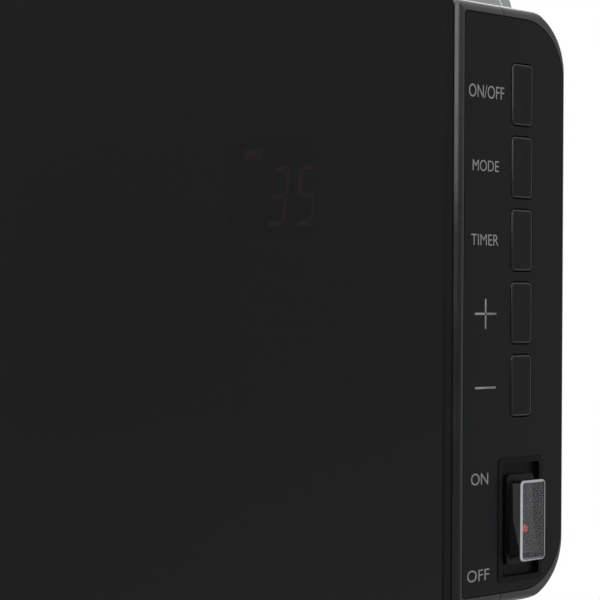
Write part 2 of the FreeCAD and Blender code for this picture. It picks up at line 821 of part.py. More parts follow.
def edge_rounding(axis, face, side):
    """What a round edge takes off the panel's side: the edge runs along an axis, beside a face."""
    radius = pod_side_round
    depth = 2 * pod_depth
    height = 2 * pod_height
    if axis == "y":
        waste = box(side_x - radius, side_x + 1, pod_front - depth, pod_back + depth,
                    min(face - side, face + side * radius), max(face - side, face + side * radius))
        start = (side_x - radius, pod_front - depth - 1, face + side * radius)
        return waste.cut(rod("y", start, pod_depth + 2 * depth + 2, radius))
    waste = box(side_x - radius, side_x + 1, face - side, face + side * radius,
                pod_low - height, pod_high + height)
    start = (side_x - radius, face + side * radius, pod_low - height - 1)
    return waste.cut(rod("z", start, pod_height + 2 * height + 2, radius))


def make_pod():
    outer = slab("x", pod_left, side_x, pod_front, pod_back, pod_low, pod_high,
                 [pod_front_round, pod_rear_round, pod_rear_round, pod_front_round])
    outer = soften(outer, pod_rear_edge_round, "x", side_x)
    outer = soften(outer, pod_inner_round, "x", pod_left)
    outer = outer.cut(edge_rounding("y", pod_low, 1)).cut(edge_rounding("y", pod_high, -1))
    outer = outer.cut(edge_rounding("z", pod_front, 1))
    wall = pod_wall
    near_corner = pod_front_round - wall
    far_corner = pod_rear_round - wall
    inner = slab("x", pod_left + wall, panel_back - ledge_thickness, pod_front + wall, pod_back - wall,
                 pod_low + wall, pod_high - wall, [near_corner, far_corner, far_corner, near_corner])
    shell = outer.cut(inner)
    shell = shell.cut(panel_outline(run_gap, panel_back, side_x + 1))
    shell = shell.cut(panel_outline(-ledge_width, panel_back - ledge_thickness - 1, panel_back + 1))
    shell = shell.cut(bezel_lip(fit_gap, panel_back - ledge_thickness - 1, panel_back + 1))
    duct_y0, duct_y1 = duct_place()
    shell = shell.cut(box(pod_left + wall, pod_left + duct_width - duct_wall, duct_y0 + duct_wall,
                          duct_y1 - duct_wall, pod_low - 1, pod_low + wall + 1))
    for y, z in rivet_places():
        shell = shell.cut(rod("x", (pod_left - 1, y, z), wall + 2, rivet + fit_gap))
    big = 2 * pod_height
    front = shell.common(box(pod_left - 9, side_x + 9, pod_front - 9, seam_y, pod_mid - big, pod_mid + big))
    back = shell.common(box(pod_left - 9, side_x + 9, seam_y + seam_gap, pod_back + 9,
                            pod_mid - big, pod_mid + big))

    for x, z in boss_places():
        stub = rod("y", (x, pod_front + wall, z), seam_y - pod_front - wall, boss_radius)
        front = front.fuse(stub)
        front = front.cut(rod("y", (x, seam_y - case_screw_bite, z), case_screw_bite + 1, case_screw))
        stub = rod("y", (x, seam_y + seam_gap, z), pod_back - wall - seam_y - seam_gap, boss_radius)
        back = back.fuse(stub)
        back = back.cut(rod("y", (x, seam_y - 1, z), pod_depth, case_screw + fit_gap))
        back = back.cut(rod("y", (x, pod_back - screw_head_height - screw_seat_sink, z), pod_wall + 2,
                            screw_head + fit_gap))
    left, right, low, high = display_window()
    front = front.cut(slab("y", pod_front - 1, pod_front + wall + 1, left, right, low, high, window_corner))
    left, right, low, high, face = display_board_place()
    for x, z in board_posts(left, right, low, high):
        post = rod("y", (x, pod_front + wall, z), face - pod_front - wall, post_radius)
        front = front.fuse(post).cut(rod("y", (x, face - post_hole_depth, z), post_hole_depth + 1, post_hole))
    left, right, face, low, high = power_board_place()
    for x, z in board_posts(left, right, low, high):
        post = rod("y", (x, face, z), pod_back - wall - face, post_radius)
        back = back.fuse(post).cut(rod("y", (x, face - 1, z), post_hole_depth + 1, post_hole))
    for number in range(vent_slots):
        z = pod_low + pod_rear_round + vent_margin + number * vent_pitch
        x0 = pod_left + pod_width / 2 - vent_length / 2
        for place in (z, 2 * pod_mid - z - vent_width):
            back = back.cut(slab("y", pod_back - wall - 1, pod_back + 1, x0, x0 + vent_length,
                                 place, place + vent_width, vent_corner))
    save("pod_front_shell", front.removeSplitter())
    save("pod_rear_shell", back.removeSplitter())


def make_panel():
    plate = panel_outline(0, panel_back, side_x)
    for number in range(key_count):
        plate = plate.cut(key_prism(number, run_gap, panel_back - 1, side_x + 1))
    recess = recess_prism(fit_gap, panel_back - 1, side_x + 1)
    plate = plate.cut(recess)
    for z in keypad_post_heights():
        plate = plate.fuse(rod("x", (board_face, key_y, z), keypad_depth, keypad_post))
    save("control_panel", plate.removeSplitter())


def key_middle(number):
    return pod_high - top_key_margin - key_height / 2 - number * key_pitch


def key_prism(number, gap, low_x, high_x):
    z = key_middle(number)
    return slab("x", low_x, high_x, key_y - key_width / 2 - gap, key_y + key_width / 2 + gap,
                z - key_height / 2 - gap, z + key_height / 2 + gap, key_corner + gap)


def keypad_post_heights():
    reach = key_height / 2 + key_flange + keypad_post_gap
    return key_middle(key_count - 1) - reach, key_middle(0) + reach


def make_keys():
    """Five push keys; each cap has a retaining flange and a plunger into its tact switch."""
    names = ("key_on_off", "key_mode", "key_timer", "key_plus", "key_minus")
    low, high = keypad_post_heights()
    bodies = []
    for number, name in enumerate(names):
        z = key_middle(number)
        cap_back = panel_back - run_gap
        flange_back = cap_back - key_flange_thickness
        face = side_x + key_proud
        cap = soften(key_prism(number, 0, cap_back, face), key_edge_round, "x", face)
        flange = key_prism(number, key_flange, flange_back, cap_back)
        tact_face = board_face + tact_height
        plunger_x = tact_face - plunger_entry
        plunger = rod("x", (plunger_x, key_y, z), flange_back - plunger_x, plunger_radius)
        save(name, cap.fuse([flange, plunger]).removeSplitter())
        half = tact_size / 2
        body = slab("x", board_face, tact_face, key_y - half, key_y + half, z - half, z + half, tact_corner)
        bore_floor = plunger_x - key_travel - run_gap
        bodies.append(body.cut(rod("x", (bore_floor, key_y, z), tact_height, plunger_radius + pin_gap)))
    save("tact_switches", *bodies)
    board = box(board_face - board_thickness, board_face, key_y - keypad_board_half,
                key_y + keypad_board_half, low - keypad_board_end, high + keypad_board_end)
    save("keypad_board", board)


def recess_prism(gap, low_x, high_x):
    half_width = recess_width / 2 + gap
    half_height = recess_height / 2 + gap
    return slab("x", low_x, high_x, switch_y - half_width, switch_y + half_width,
                switch_z - half_height, switch_z + half_height, recess_corner + gap)


def bezel_lip(gap, low_x, high_x):
    """The rim behind the panel that stops the switch bezel from coming out."""
    return recess_prism(bezel_rim + gap, low_x, high_x)


def centred(axis_low, axis_high, width, height, radius):
    """Round-cornered block on the switch's axis, square to X."""
    return slab("x", axis_low, axis_high, switch_y - width / 2, switch_y + width / 2,
                switch_z - height / 2, switch_z + height / 2, radius)


def make_switch():
    """Rocker switch in a shallow recess, under a clear splash cover."""
    floor = side_x - recess_depth
    tub = recess_prism(0, floor - bezel_depth, side_x + bezel_proud)
    tub = soften(tub, bezel_edge_round, "x", side_x + bezel_proud)
    pocket = centred(floor, side_x + 2, recess_width - 2 * recess_rim, recess_height - 2 * recess_rim_ends,
                     recess_floor_corner)
    hole = centred(floor - bezel_depth - 1, floor + 1, switch_body_width + 2 * fit_gap,
                   switch_body_height + 2 * fit_gap, switch_corner + fit_gap)
    lip = bezel_lip(0, floor - bezel_depth, panel_back)
    save("switch_bezel", tub.fuse(lip).cut([pocket, hole]).removeSplitter())

    flange_top = floor + switch_flange
    body_back = flange_top - switch_body_depth
    body = centred(body_back, floor, switch_body_width, switch_body_height, switch_corner)
    flange = centred(floor, flange_top, switch_width, switch_height, switch_flange_corner)
    cavity_width = rocker_width + 2 * run_gap
    cavity = centred(flange_top - rocker_cavity, flange_top + 1, cavity_width,
                     rocker_length + 2 * rocker_end_room, switch_corner)
    body = body.fuse(flange).cut(cavity)
    pin_reach = cavity_width / 2 + rocker_pin_grip
    pivot_x = flange_top - rocker_pivot_depth
    hole_reach = pin_reach + fit_gap
    pin_hole = rod("y", (pivot_x, switch_y - hole_reach, switch_z), 2 * hole_reach, rocker_pin + pin_gap)
    body = body.cut(pin_hole)
    tab_length, tab_width, tab_thickness = switch_tab
    for place in (-1, 0, 1):
        z = switch_z + place * switch_tab_pitch
        body = body.fuse(box(body_back - tab_length, body_back, switch_y - tab_width / 2,
                             switch_y + tab_width / 2, z - tab_thickness / 2, z + tab_thickness / 2))
    save("switch_body", body.removeSplitter())

    half = rocker_length / 2
    face_x = pivot_x + rocker_rise
    outline = [V(face_x, 0, switch_z + half), V(face_x - rocker_dip, 0, switch_z),
               V(face_x, 0, switch_z - half), V(pivot_x - rocker_heel, 0, switch_z - half),
               V(pivot_x - rocker_keel, 0, switch_z), V(pivot_x - rocker_heel, 0, switch_z + half)]
    face = rounded_face(outline, rocker_corners)
    rocker = face.translated(V(0, switch_y - rocker_width / 2, 0)).extrude(V(0, rocker_width, 0))
    rocker = rocker.fuse(rod("y", (pivot_x, switch_y - pin_reach, switch_z), 2 * pin_reach, rocker_pin))
    rocker = rocker.removeSplitter()
    rocker.rotate(V(pivot_x, 0, switch_z), AXES["y"], -rocker_tilt)
    save("switch_rocker", rocker)

    top = side_x + cover_proud
    shell = centred(flange_top, top, cover_width, cover_height, cover_corner)
    shell = soften(shell, cover_edge_round, "x", top)
    inside = centred(flange_top - 1, top - cover_wall, cover_width - 2 * cover_wall,
                     cover_height - 2 * cover_wall, cover_corner - cover_wall)
    save("switch_cover", shell.cut(inside))


def make_display():
    left, right, low, high, face = display_board_place()
    board = slab("y", face, face + board_thickness, left, right, low, high, 1.0)
    screws = []
    for x, z in board_posts(left, right, low, high):
        board = board.cut(rod("y", (x, face - 1, z), board_thickness + 2, post_hole + fit_gap))
        seat = (x, face + board_thickness, z)
        screws.append(screw("y", -1, seat, board_screw_head, board_screw_head_height, post_hole,
                            board_thickness + board_screw_bite))
    save("display_board", board)
    middle = side_x - display_inboard
    half_height = display_height / 2
    block = slab("y", pod_front + display_sink, face, middle - display_width / 2, middle + display_width / 2,
                 pod_mid + display_rise - half_height, pod_mid + display_rise + half_height, 0.5)
    save("display_module", block)
    lamp_x = side_x - lamp_inboard
    lamp_z = pod_mid + lamp_rise
    lamp = slab("y", pod_front + display_sink, face, lamp_x - lamp_width / 2, lamp_x + lamp_width / 2,
                lamp_z - lamp_height / 2, lamp_z + lamp_height / 2, lamp_corner)
    save("indicator_lamp", lamp)
    return screws


def screw(axis, side, start, head, head_height, shank, length):
    """Pan-head screw: start is the middle of its seat, side is +1 when the shank runs along the axis."""
    place = V(*start)
    along = AXES[axis]
    shank_start = place if side > 0 else place - along * length
    head_start = place - along * head_height if side > 0 else place
    body = Part.makeCylinder(shank, length, shank_start, along)
    cap = Part.makeCylinder(head, head_height, head_start, along)
    return body.fuse(cap).removeSplitter()


def make_power_board():
    """Mains board with its relays and transformer, the room sensor and the tip-over switch."""
    left, right, back, low, high = power_board_place()
    front = back - board_thickness
    board = slab("y", front, back, left, right, low, high, 1.0)
    screws = []
    for x, z in board_posts(left, right, low, high):
        board = board.cut(rod("y", (x, front - 1, z), board_thickness + 2, post_hole + fit_gap))
        screws.append(screw("y", 1, (x, front, z), board_screw_head, board_screw_head_height, post_hole,
                            board_thickness + board_screw_bite))
    save("power_board", board)
    parts = []
    length, depth, height = relay
    for number in range(2):
        x = left + relay_inset + number * relay_pitch
        parts.append(slab("y", front - depth, front, x, x + length,
                          pod_mid + relay_rise, pod_mid + relay_rise + height, 0.8))
    length, depth, height = transformer
    x = left + relay_inset
    parts.append(slab("y", front - depth, front, x, x + length, pod_mid - height, pod_mid, 1.5))
    parts.append(rod("y", (left + capacitor_inset, front - capacitor_length, pod_mid - capacitor_drop),
                     capacitor_length, capacitor_radius))
    save("power_components", *parts)

    bead = (right - sensor_inset, front - sensor_reach, low + sensor_rise)
    sensor = rod("y", bead, sensor_reach, sensor_stem)
    sensor = sensor.fuse(Part.makeSphere(sensor_bead, V(*bead)))
    save("room_sensor", sensor.removeSplitter())

    yoke_x = left + tilt_inset
    yoke_top = low + tilt_rise
    yoke_low = yoke_top - tilt_height
    yoke_front = front - tilt_depth
    yoke = box(yoke_x - tilt_half_width, yoke_x + tilt_half_width, yoke_front, front, yoke_low, yoke_top)
    yoke = yoke.cut(box(yoke_x - tilt_half_width - 1, yoke_x + tilt_half_width + 1, yoke_front + tilt_wall,
                        front - tilt_wall, yoke_low - 1, yoke_top - tilt_wall))
    pivot_z = yoke_top - tilt_pivot_drop
    blind = tilt_wall / 2
    hole_radius = tilt_pin + pin_gap
    yoke = yoke.cut(rod("y", (yoke_x, yoke_front - 1, pivot_z), tilt_depth + 1 - blind, hole_radius))
    save("tilt_switch_body", yoke)
    half = tilt_depth / 2 - tilt_wall - run_gap
    middle = front - tilt_depth / 2
    bob = rod("y", (yoke_x, middle - half, pivot_z - tilt_arm), 2 * half, tilt_bob)
    arm = box(yoke_x - tilt_arm_width / 2, yoke_x + tilt_arm_width / 2, middle - tilt_arm_depth / 2,
              middle + tilt_arm_depth / 2, pivot_z - tilt_arm, pivot_z)
    hub = rod("y", (yoke_x, middle - half, pivot_z), 2 * half, tilt_hub)
    pivot_y = yoke_front + fit_gap
    pivot = rod("y", (yoke_x, pivot_y, pivot_z), front - blind - fit_gap - pivot_y, tilt_pin)
    save("tilt_pendulum", bob.fuse([arm, hub, pivot]).removeSplitter())
    return screws


def make_screws(board_screws):
    """All the self-tapping screws and the pod's two rivets."""
    screws = list(board_screws)
    for x, z in boss_places():
        seat = pod_back - screw_head_height - screw_seat_sink
        screws.append(screw("y", -1, (x, seat, z), screw_head, screw_head_height, case_screw - pin_gap,
                            seat - seam_y + case_screw_bite - 2.0))
    for z in tab_heights():
        seat = (pod_left + cover_shell, -(cover_depth + cover_tab_reach) / 2, z)
        screws.append(screw("x", -1, seat, screw_head, screw_head_height, case_screw - pin_gap,
                            cover_shell + side_plate))
    for y, z in rivet_places():
        screws.append(screw("x", -1, (pod_left + pod_wall, y, z), rivet_head, rivet_head_height, rivet,
                            pod_wall + side_plate))
    save("case_screws", *screws)


# ------------------------------------------------------------------ feet and castors
def saddle_block(number, base, side):
    """Post between two fins that meets the header neck: side is +1 from below, -1 from above."""
    x = neck_x(number)
    middle = header_low if side > 0 else header_high
    seat = middle - side * saddle_overlap
    post = slab("z", min(base, seat), max(base, seat), x - saddle_width / 2, x + saddle_width / 2,
                -saddle_half_depth, saddle_half_depth, saddle_corner)
    return post.cut(rod("x", (x - saddle_width, 0, middle), 2 * saddle_width, header_outer + run_gap))


def clamp(number, side, far):
    """U-bolt round a header neck, its legs running to a far height."""
    x = neck_x(number)
    middle = header_low if side > 0 else header_high
    reach = header_outer + run_gap + clamp_radius
    ring = Part.makeTorus(reach, clamp_radius, V(x, 0, middle), AXES["x"])
    keep = 2 * reach
    if side > 0:
        arch = ring.common(box(x - keep, x + keep, -keep, keep, middle, middle + keep))
    else:
        arch = ring.common(box(x - keep, x + keep, -keep, keep, middle - keep, middle))
    legs = [rod("z", (x, y, min(far, middle)), abs(far - middle), clamp_radius) for y in (-reach, reach)]
    return arch.fuse(legs).removeSplitter()


def leg_holes(number, low, high):
    reach = header_outer + run_gap + clamp_radius
    return [rod("z", (neck_x(number), y, low), high - low, clamp_radius + fit_gap) for y in (-reach, reach)]


def make_feet():
    clamps = []
    for name, number in (("left_foot", 1), ("right_foot", fin_count - 1)):
        x = neck_x(number)
        half = foot_length / 2
        bar = slab("z", foot_bottom, foot_top, x - foot_width / 2, x + foot_width / 2, -half, half,
                   foot_end_round)
        bar = soften(bar, foot_top_round, "z", foot_top)
        hollow = slab("z", foot_bottom - 1, foot_top - foot_wall, x - foot_width / 2 + foot_wall,
                      x + foot_width / 2 - foot_wall, -half + foot_wall, half - foot_wall,
                      foot_end_round - foot_wall)
        foot = bar.cut(hollow).fuse(saddle_block(number, foot_top - 1.0, 1))
        for y in castor_places():
            foot = foot.fuse(rod("z", (x, y, foot_bottom), foot_top - foot_bottom - 1.0, castor_boss))
            foot = foot.cut(rod("z", (x, y, foot_bottom - 1), foot_top - foot_bottom - 1.0,
                                stem_radius + pin_gap))
        foot = foot.cut(leg_holes(number, foot_bottom, header_low))
        save(name, foot.removeSplitter())
        clamps.append(clamp(number, 1, foot_bottom + clamp_leg_end))
        reach = header_outer + run_gap + clamp_radius
        for y in (-reach, reach):
            seat = foot_top - foot_wall
            nut = rod("z", (x, y, seat - nut_height), nut_height, clamp_radius + pin_gap, nut_radius)
            wing_low = seat - nut_height - wing_drop
            wing = box(x - wing_half_length, x + wing_half_length, y - wing_half_thickness,
                       y + wing_half_thickness, wing_low, wing_low + wing_height)
            wing = wing.cut(rod("z", (x, y, wing_low - 1), wing_height + 2, nut_radius - wing_bite))
            clamps.append(nut.fuse(wing).removeSplitter())
    save("foot_clamps", *clamps)


def castor_places():
    half = foot_length / 2 - castor_inset
    return -half, half


def make_castors():
    """Four swivel castors; each fork turns on its stem and its wheel turns on the axle."""
    for side, number in (("left", 1), ("right", fin_count - 1)):
        x = neck_x(number)
        for end, y in zip(("front", "rear"), castor_places()):
            top = foot_bottom - run_gap
            axle_x = x - castor_trail
            inner = wheel_width / 2 + fork_gap
            outer = inner + fork_plate
            stem = rod("z", (x, y, top - 1), foot_top - foot_bottom - 1.0 - stem_end_gap, stem_radius)
            disc = rod("z", (x, y, top - fork_plate), fork_plate, fork_disc)
            near = axle_x - fork_half_foot
            crown = slab("z", top - fork_plate, top, near, x + fork_tail, y - outer, y + outer, fork_corner)
            fork = stem.fuse([disc, crown])
            for low_y in (y - outer, y + inner):
                foot = wheel_radius - fork_half_foot
                corners = [V(x + fork_tail, low_y, top - 1), V(near, low_y, top - 1),
                           V(near, low_y, foot), V(axle_x + fork_half_foot, low_y, foot)]
                cheek = rounded_face(corners, [1.0, 1.0, fork_foot_corner, fork_foot_corner])
                cheek = cheek.extrude(V(0, fork_plate, 0))
                fork = fork.fuse(cheek)
            axle_bore = wheel_bore + pin_gap
            fork = fork.cut(rod("y", (axle_x, y - outer - 1, wheel_radius), 2 * outer + 2, axle_bore))
            axle = rod("y", (axle_x, y - outer - axle_end, wheel_radius), 2 * (outer + axle_end), wheel_bore)
            for head_y in (y - outer - axle_head, y + outer):
                axle = axle.fuse(rod("y", (axle_x, head_y, wheel_radius), axle_head, wheel_bore + axle_head))
            save("castor_fork_%s_%s" % (side, end), fork.removeSplitter(), axle.removeSplitter())
            half = wheel_width / 2
            wheel = rod("y", (axle_x, y - half, wheel_radius), wheel_width, wheel_radius)
            wheel = soften(wheel, wheel_edge_round, "y", y - half, y + half)
            for groove_y in (y - half - 1, y + half - wheel_groove_depth):
                groove = rod("y", (axle_x, groove_y, wheel_radius), wheel_groove_depth + 1, *wheel_groove)
                wheel = wheel.cut(groove)
            wheel = wheel.cut(rod("y", (axle_x, y - half - 1, wheel_radius), wheel_width + 2, axle_bore))
            save("castor_wheel_%s_%s" % (side, end), wheel)


# ------------------------------------------------------------------ handle
def make_handle():
    grip_low = fin_top + grip_clearance
    grip_high = grip_low + grip_height
    left = neck_x(handle_neck) - grip_overhang
    right = neck_x(fin_count - handle_neck) + grip_overhang
    grip = slab("x", left, right, -grip_depth / 2, grip_depth / 2, grip_low, grip_high, grip_round)
    grip = soften(grip, grip_end_round, "x", left, right)
    clamps = []
    handle = grip
    shoulder = header_high + header_outer + shoulder_rise
    neck_depth = grip_depth / 2 - neck_inset
    for number in (handle_neck, fin_count - handle_neck):
        x = neck_x(number)
        neck = slab("z", shoulder - shoulder_lap, grip_low + grip_height / 2, x - saddle_width / 2,
                    x + saddle_width / 2, -neck_depth, neck_depth, neck_corner)
        post = saddle_block(number, shoulder, -1)
        handle = handle.fuse([neck, post]).cut(leg_holes(number, header_high, shoulder - handle_hole_end))
        clamps.append(clamp(number, -1, shoulder - handle_leg_end))
    save("top_handle", handle.removeSplitter())
    save("handle_clamps", *clamps)


def main():
    os.makedirs("parts", exist_ok=True)
    make_fins()
    make_oil()
    make_element()
    make_cutout()
    make_terminal_cover()
    make_gland()
    make_duct()
    make_glass()
    make_rails()
    make_hooks()
    make_side_bracket()
    make_pod()
    make_panel()
    make_keys()
    make_switch()
    make_screws(make_display() + make_power_board())
    make_feet()
    make_castors()
    make_handle()


main()
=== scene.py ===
import bpy
import bmesh
import math
from mathutils import Matrix, Vector


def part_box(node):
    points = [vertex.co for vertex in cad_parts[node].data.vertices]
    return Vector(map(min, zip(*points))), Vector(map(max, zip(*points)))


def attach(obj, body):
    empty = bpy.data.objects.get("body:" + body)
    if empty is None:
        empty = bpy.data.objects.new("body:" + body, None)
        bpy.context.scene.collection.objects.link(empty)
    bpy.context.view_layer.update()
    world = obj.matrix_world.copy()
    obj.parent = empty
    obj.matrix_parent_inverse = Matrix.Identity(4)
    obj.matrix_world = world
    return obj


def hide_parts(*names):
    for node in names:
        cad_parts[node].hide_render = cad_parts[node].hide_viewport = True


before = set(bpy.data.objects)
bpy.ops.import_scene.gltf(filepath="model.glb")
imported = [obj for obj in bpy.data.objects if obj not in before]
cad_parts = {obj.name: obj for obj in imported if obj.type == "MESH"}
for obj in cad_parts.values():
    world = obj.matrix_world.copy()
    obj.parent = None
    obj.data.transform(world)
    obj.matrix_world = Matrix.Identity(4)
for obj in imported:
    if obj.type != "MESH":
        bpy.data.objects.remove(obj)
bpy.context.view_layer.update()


# ------------------------------------------------------------------ room
# A pale floor under soft studio light, running out into a plain white wall behind the heater.
# The side that the camera stands on is a grey room, so black gloss pieces stay black.
glass_low, glass_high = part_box("front_glass")


def link(obj):
    bpy.context.scene.collection.objects.link(obj)
    return obj


def mesh_piece(name, verts, faces, material=None, smooth=True):
    mesh = bpy.data.meshes.new(name)
    mesh.from_pydata([tuple(v) for v in verts], [], faces)
    mesh.validate()
    if smooth:
        mesh.shade_smooth()
    if material:
        mesh.materials.append(material)
    return link(bpy.data.objects.new(name, mesh))


def wire(tree, source, out, target, into):
    tree.links.new(source.outputs[out], target.inputs[into])


def sums(tree, operation, first, second):
    node = tree.nodes.new("ShaderNodeMath")
    node.operation = operation
    for socket, value in zip(node.inputs, (first, second)):
        if isinstance(value, (int, float)):
            socket.default_value = value
        else:
            tree.links.new(value, socket)
    return node.outputs[0]


def backdrop_rays(tree, path):
    """1 for rays that see the room straight, in a reflection or through something clear."""
    seen = sums(tree, "MAXIMUM", path.outputs["Is Camera Ray"], path.outputs["Is Glossy Ray"])
    return sums(tree, "MAXIMUM", seen, path.outputs["Is Transmission Ray"])


def room_tone(tree, direction, path):
    """White behind and overhead, grey on the camera's side, for reflections only."""
    split = tree.nodes.new("ShaderNodeSeparateXYZ")
    tree.links.new(direction, split.inputs[0])
    parts = []
    for axis, low, high in (("Y", -0.15, 0.55), ("Z", 0.25, 0.75), ("X", -0.3, 0.3), ("Z", -0.08, 0.24)):
        ramp = tree.nodes.new("ShaderNodeMapRange")
        ramp.interpolation_type = "SMOOTHSTEP"
        ramp.inputs["From Min"].default_value = low
        ramp.inputs["From Max"].default_value = high
        tree.links.new(split.outputs[axis], ramp.inputs["Value"])
        parts.append(ramp.outputs["Result"])
    across = tree.nodes.new("ShaderNodeMapRange")
    across.inputs["From Min"].default_value = -0.9
    across.inputs["From Max"].default_value = -0.6
    across.inputs["To Min"].default_value = 0.10
    across.inputs["To Max"].default_value = 0.24
    tree.links.new(split.outputs["X"], across.inputs["Value"])
    right_wall = sums(tree, "MULTIPLY", parts[2], parts[3])
    bright = sums(tree, "MAXIMUM", sums(tree, "MAXIMUM", parts[0], parts[1]), right_wall)
    grey = sums(tree, "MULTIPLY", across.outputs["Result"], sums(tree, "SUBTRACT", 1.0, bright))
    tone = sums(tree, "ADD", bright, grey)
    less = sums(tree, "MULTIPLY", path.outputs["Is Glossy Ray"], sums(tree, "SUBTRACT", 1.0, tone))
    return sums(tree, "SUBTRACT", 1.0, less)


floor_half = 4.5
floor = mesh_piece("floor", [(-floor_half, -floor_half, 0), (floor_half, -floor_half, 0),
                             (floor_half, floor_half, 0), (-floor_half, floor_half, 0)],
                   [(0, 1, 2, 3)], smooth=False)
paint = bpy.data.materials.new("floor_paint")
paint.use_nodes = True
tree = paint.node_tree
tree.nodes.clear()
out = tree.nodes.new("ShaderNodeOutputMaterial")
matt = tree.nodes.new("ShaderNodeBsdfDiffuse")
matt.inputs["Color"].default_value = (0.80, 0.80, 0.80, 1)
glow = tree.nodes.new("ShaderNodeEmission")
path = tree.nodes.new("ShaderNodeLightPath")
place = tree.nodes.new("ShaderNodeTexCoord")
heading = tree.nodes.new("ShaderNodeVectorMath")
heading.operation = "NORMALIZE"
tree.links.new(place.outputs["Object"], heading.inputs[0])
tree.links.new(room_tone(tree, heading.outputs["Vector"], path), glow.inputs["Strength"])
reach = tree.nodes.new("ShaderNodeVectorMath")
reach.operation = "LENGTH"
tree.links.new(place.outputs["Object"], reach.inputs[0])
fade = tree.nodes.new("ShaderNodeMapRange")
fade.interpolation_type = "SMOOTHSTEP"
fade.inputs["From Min"].default_value = 0.45
fade.inputs["From Max"].default_value = 1.7
tree.links.new(reach.outputs["Value"], fade.inputs["Value"])
share = sums(tree, "MULTIPLY", fade.outputs["Result"], backdrop_rays(tree, path))
blend = tree.nodes.new("ShaderNodeMixShader")
tree.links.new(share, blend.inputs["Fac"])
tree.links.new(matt.outputs[0], blend.inputs[1])
tree.links.new(glow.outputs[0], blend.inputs[2])
tree.links.new(blend.outputs[0], out.inputs["Surface"])
floor.data.materials.append(paint)

world = bpy.data.worlds.new("studio")
bpy.context.scene.world = world
world.use_nodes = True
tree = world.node_tree
tree.nodes.clear()
out = tree.nodes.new("ShaderNodeOutputWorld")
soft_fill = tree.nodes.new("ShaderNodeBackground")
soft_fill.inputs["Color"].default_value = (0.95, 0.97, 1.0, 1)
soft_fill.inputs["Strength"].default_value = 0.40
wall = tree.nodes.new("ShaderNodeBackground")
wall.inputs["Color"].default_value = (1, 1, 1, 1)
path = tree.nodes.new("ShaderNodeLightPath")
place = tree.nodes.new("ShaderNodeTexCoord")
tree.links.new(room_tone(tree, place.outputs["Generated"], path), wall.inputs["Strength"])
blend = tree.nodes.new("ShaderNodeMixShader")
tree.links.new(backdrop_rays(tree, path), blend.inputs["Fac"])
tree.links.new(soft_fill.outputs[0], blend.inputs[1])
tree.links.new(wall.outputs[0], blend.inputs[2])
tree.links.new(blend.outputs[0], out.inputs["Surface"])


def softbox(name, place, aim, width, height, watts, tint=(1, 1, 1)):
    lamp = bpy.data.lights.new(name, "AREA")
    lamp.shape = "RECTANGLE"
    lamp.size = width
    lamp.size_y = height
    lamp.energy = watts
    lamp.color = tint
    holder = link(bpy.data.objects.new(name, lamp))
    holder.location = place
    holder.rotation_mode = "QUATERNION"
    holder.rotation_quaternion = (Vector(aim) - Vector(place)).to_track_quat("-Z", "Y")
    return holder


softbox("overhead_softbox", (0.2, -0.1, 2.3), (0.0, 0, 0.4), 1.8, 1.8, 16)
softbox("right_softbox", (1.45, -1.40, 1.16), (0.2, -0.1, 0.5), 1.7, 1.1, 17)
softbox("left_softbox", (-1.9, -1.2, 1.9), (0, 0, 0.4), 1.2, 1.2, 6, (0.95, 0.97, 1.0))
softbox("rear_softbox", (-0.6, 2.2, 1.7), (0, 0, 0.35), 1.4, 1.2, 9)

# The camera stands close to the pod's front corner, 150 mm below the top of the glass.
camera_angle = math.radians(48)
camera_roll = math.radians(0.3)
lens_in_frames = 1783 / 600
camera_data = bpy.data.cameras.new("camera")
camera_data.sensor_width = 36
camera_data.lens = 36 * lens_in_frames
camera_data.clip_start = 0.02
camera_data.clip_end = 40
camera = link(bpy.data.objects.new("camera", camera_data))
look = Vector((-math.sin(camera_angle), math.cos(camera_angle), 0))
camera.rotation_mode = "QUATERNION"
roll = Matrix.Rotation(camera_roll, 4, "Z").to_quaternion()
camera.rotation_quaternion = look.to_track_quat("-Z", "Y") @ roll
camera.location = (glass_high.x + 0.3828, glass_low.y - 0.4052, glass_high.z - 0.150)
bpy.context.scene.camera = camera
bpy.context.scene.view_settings.view_transform = "Standard"


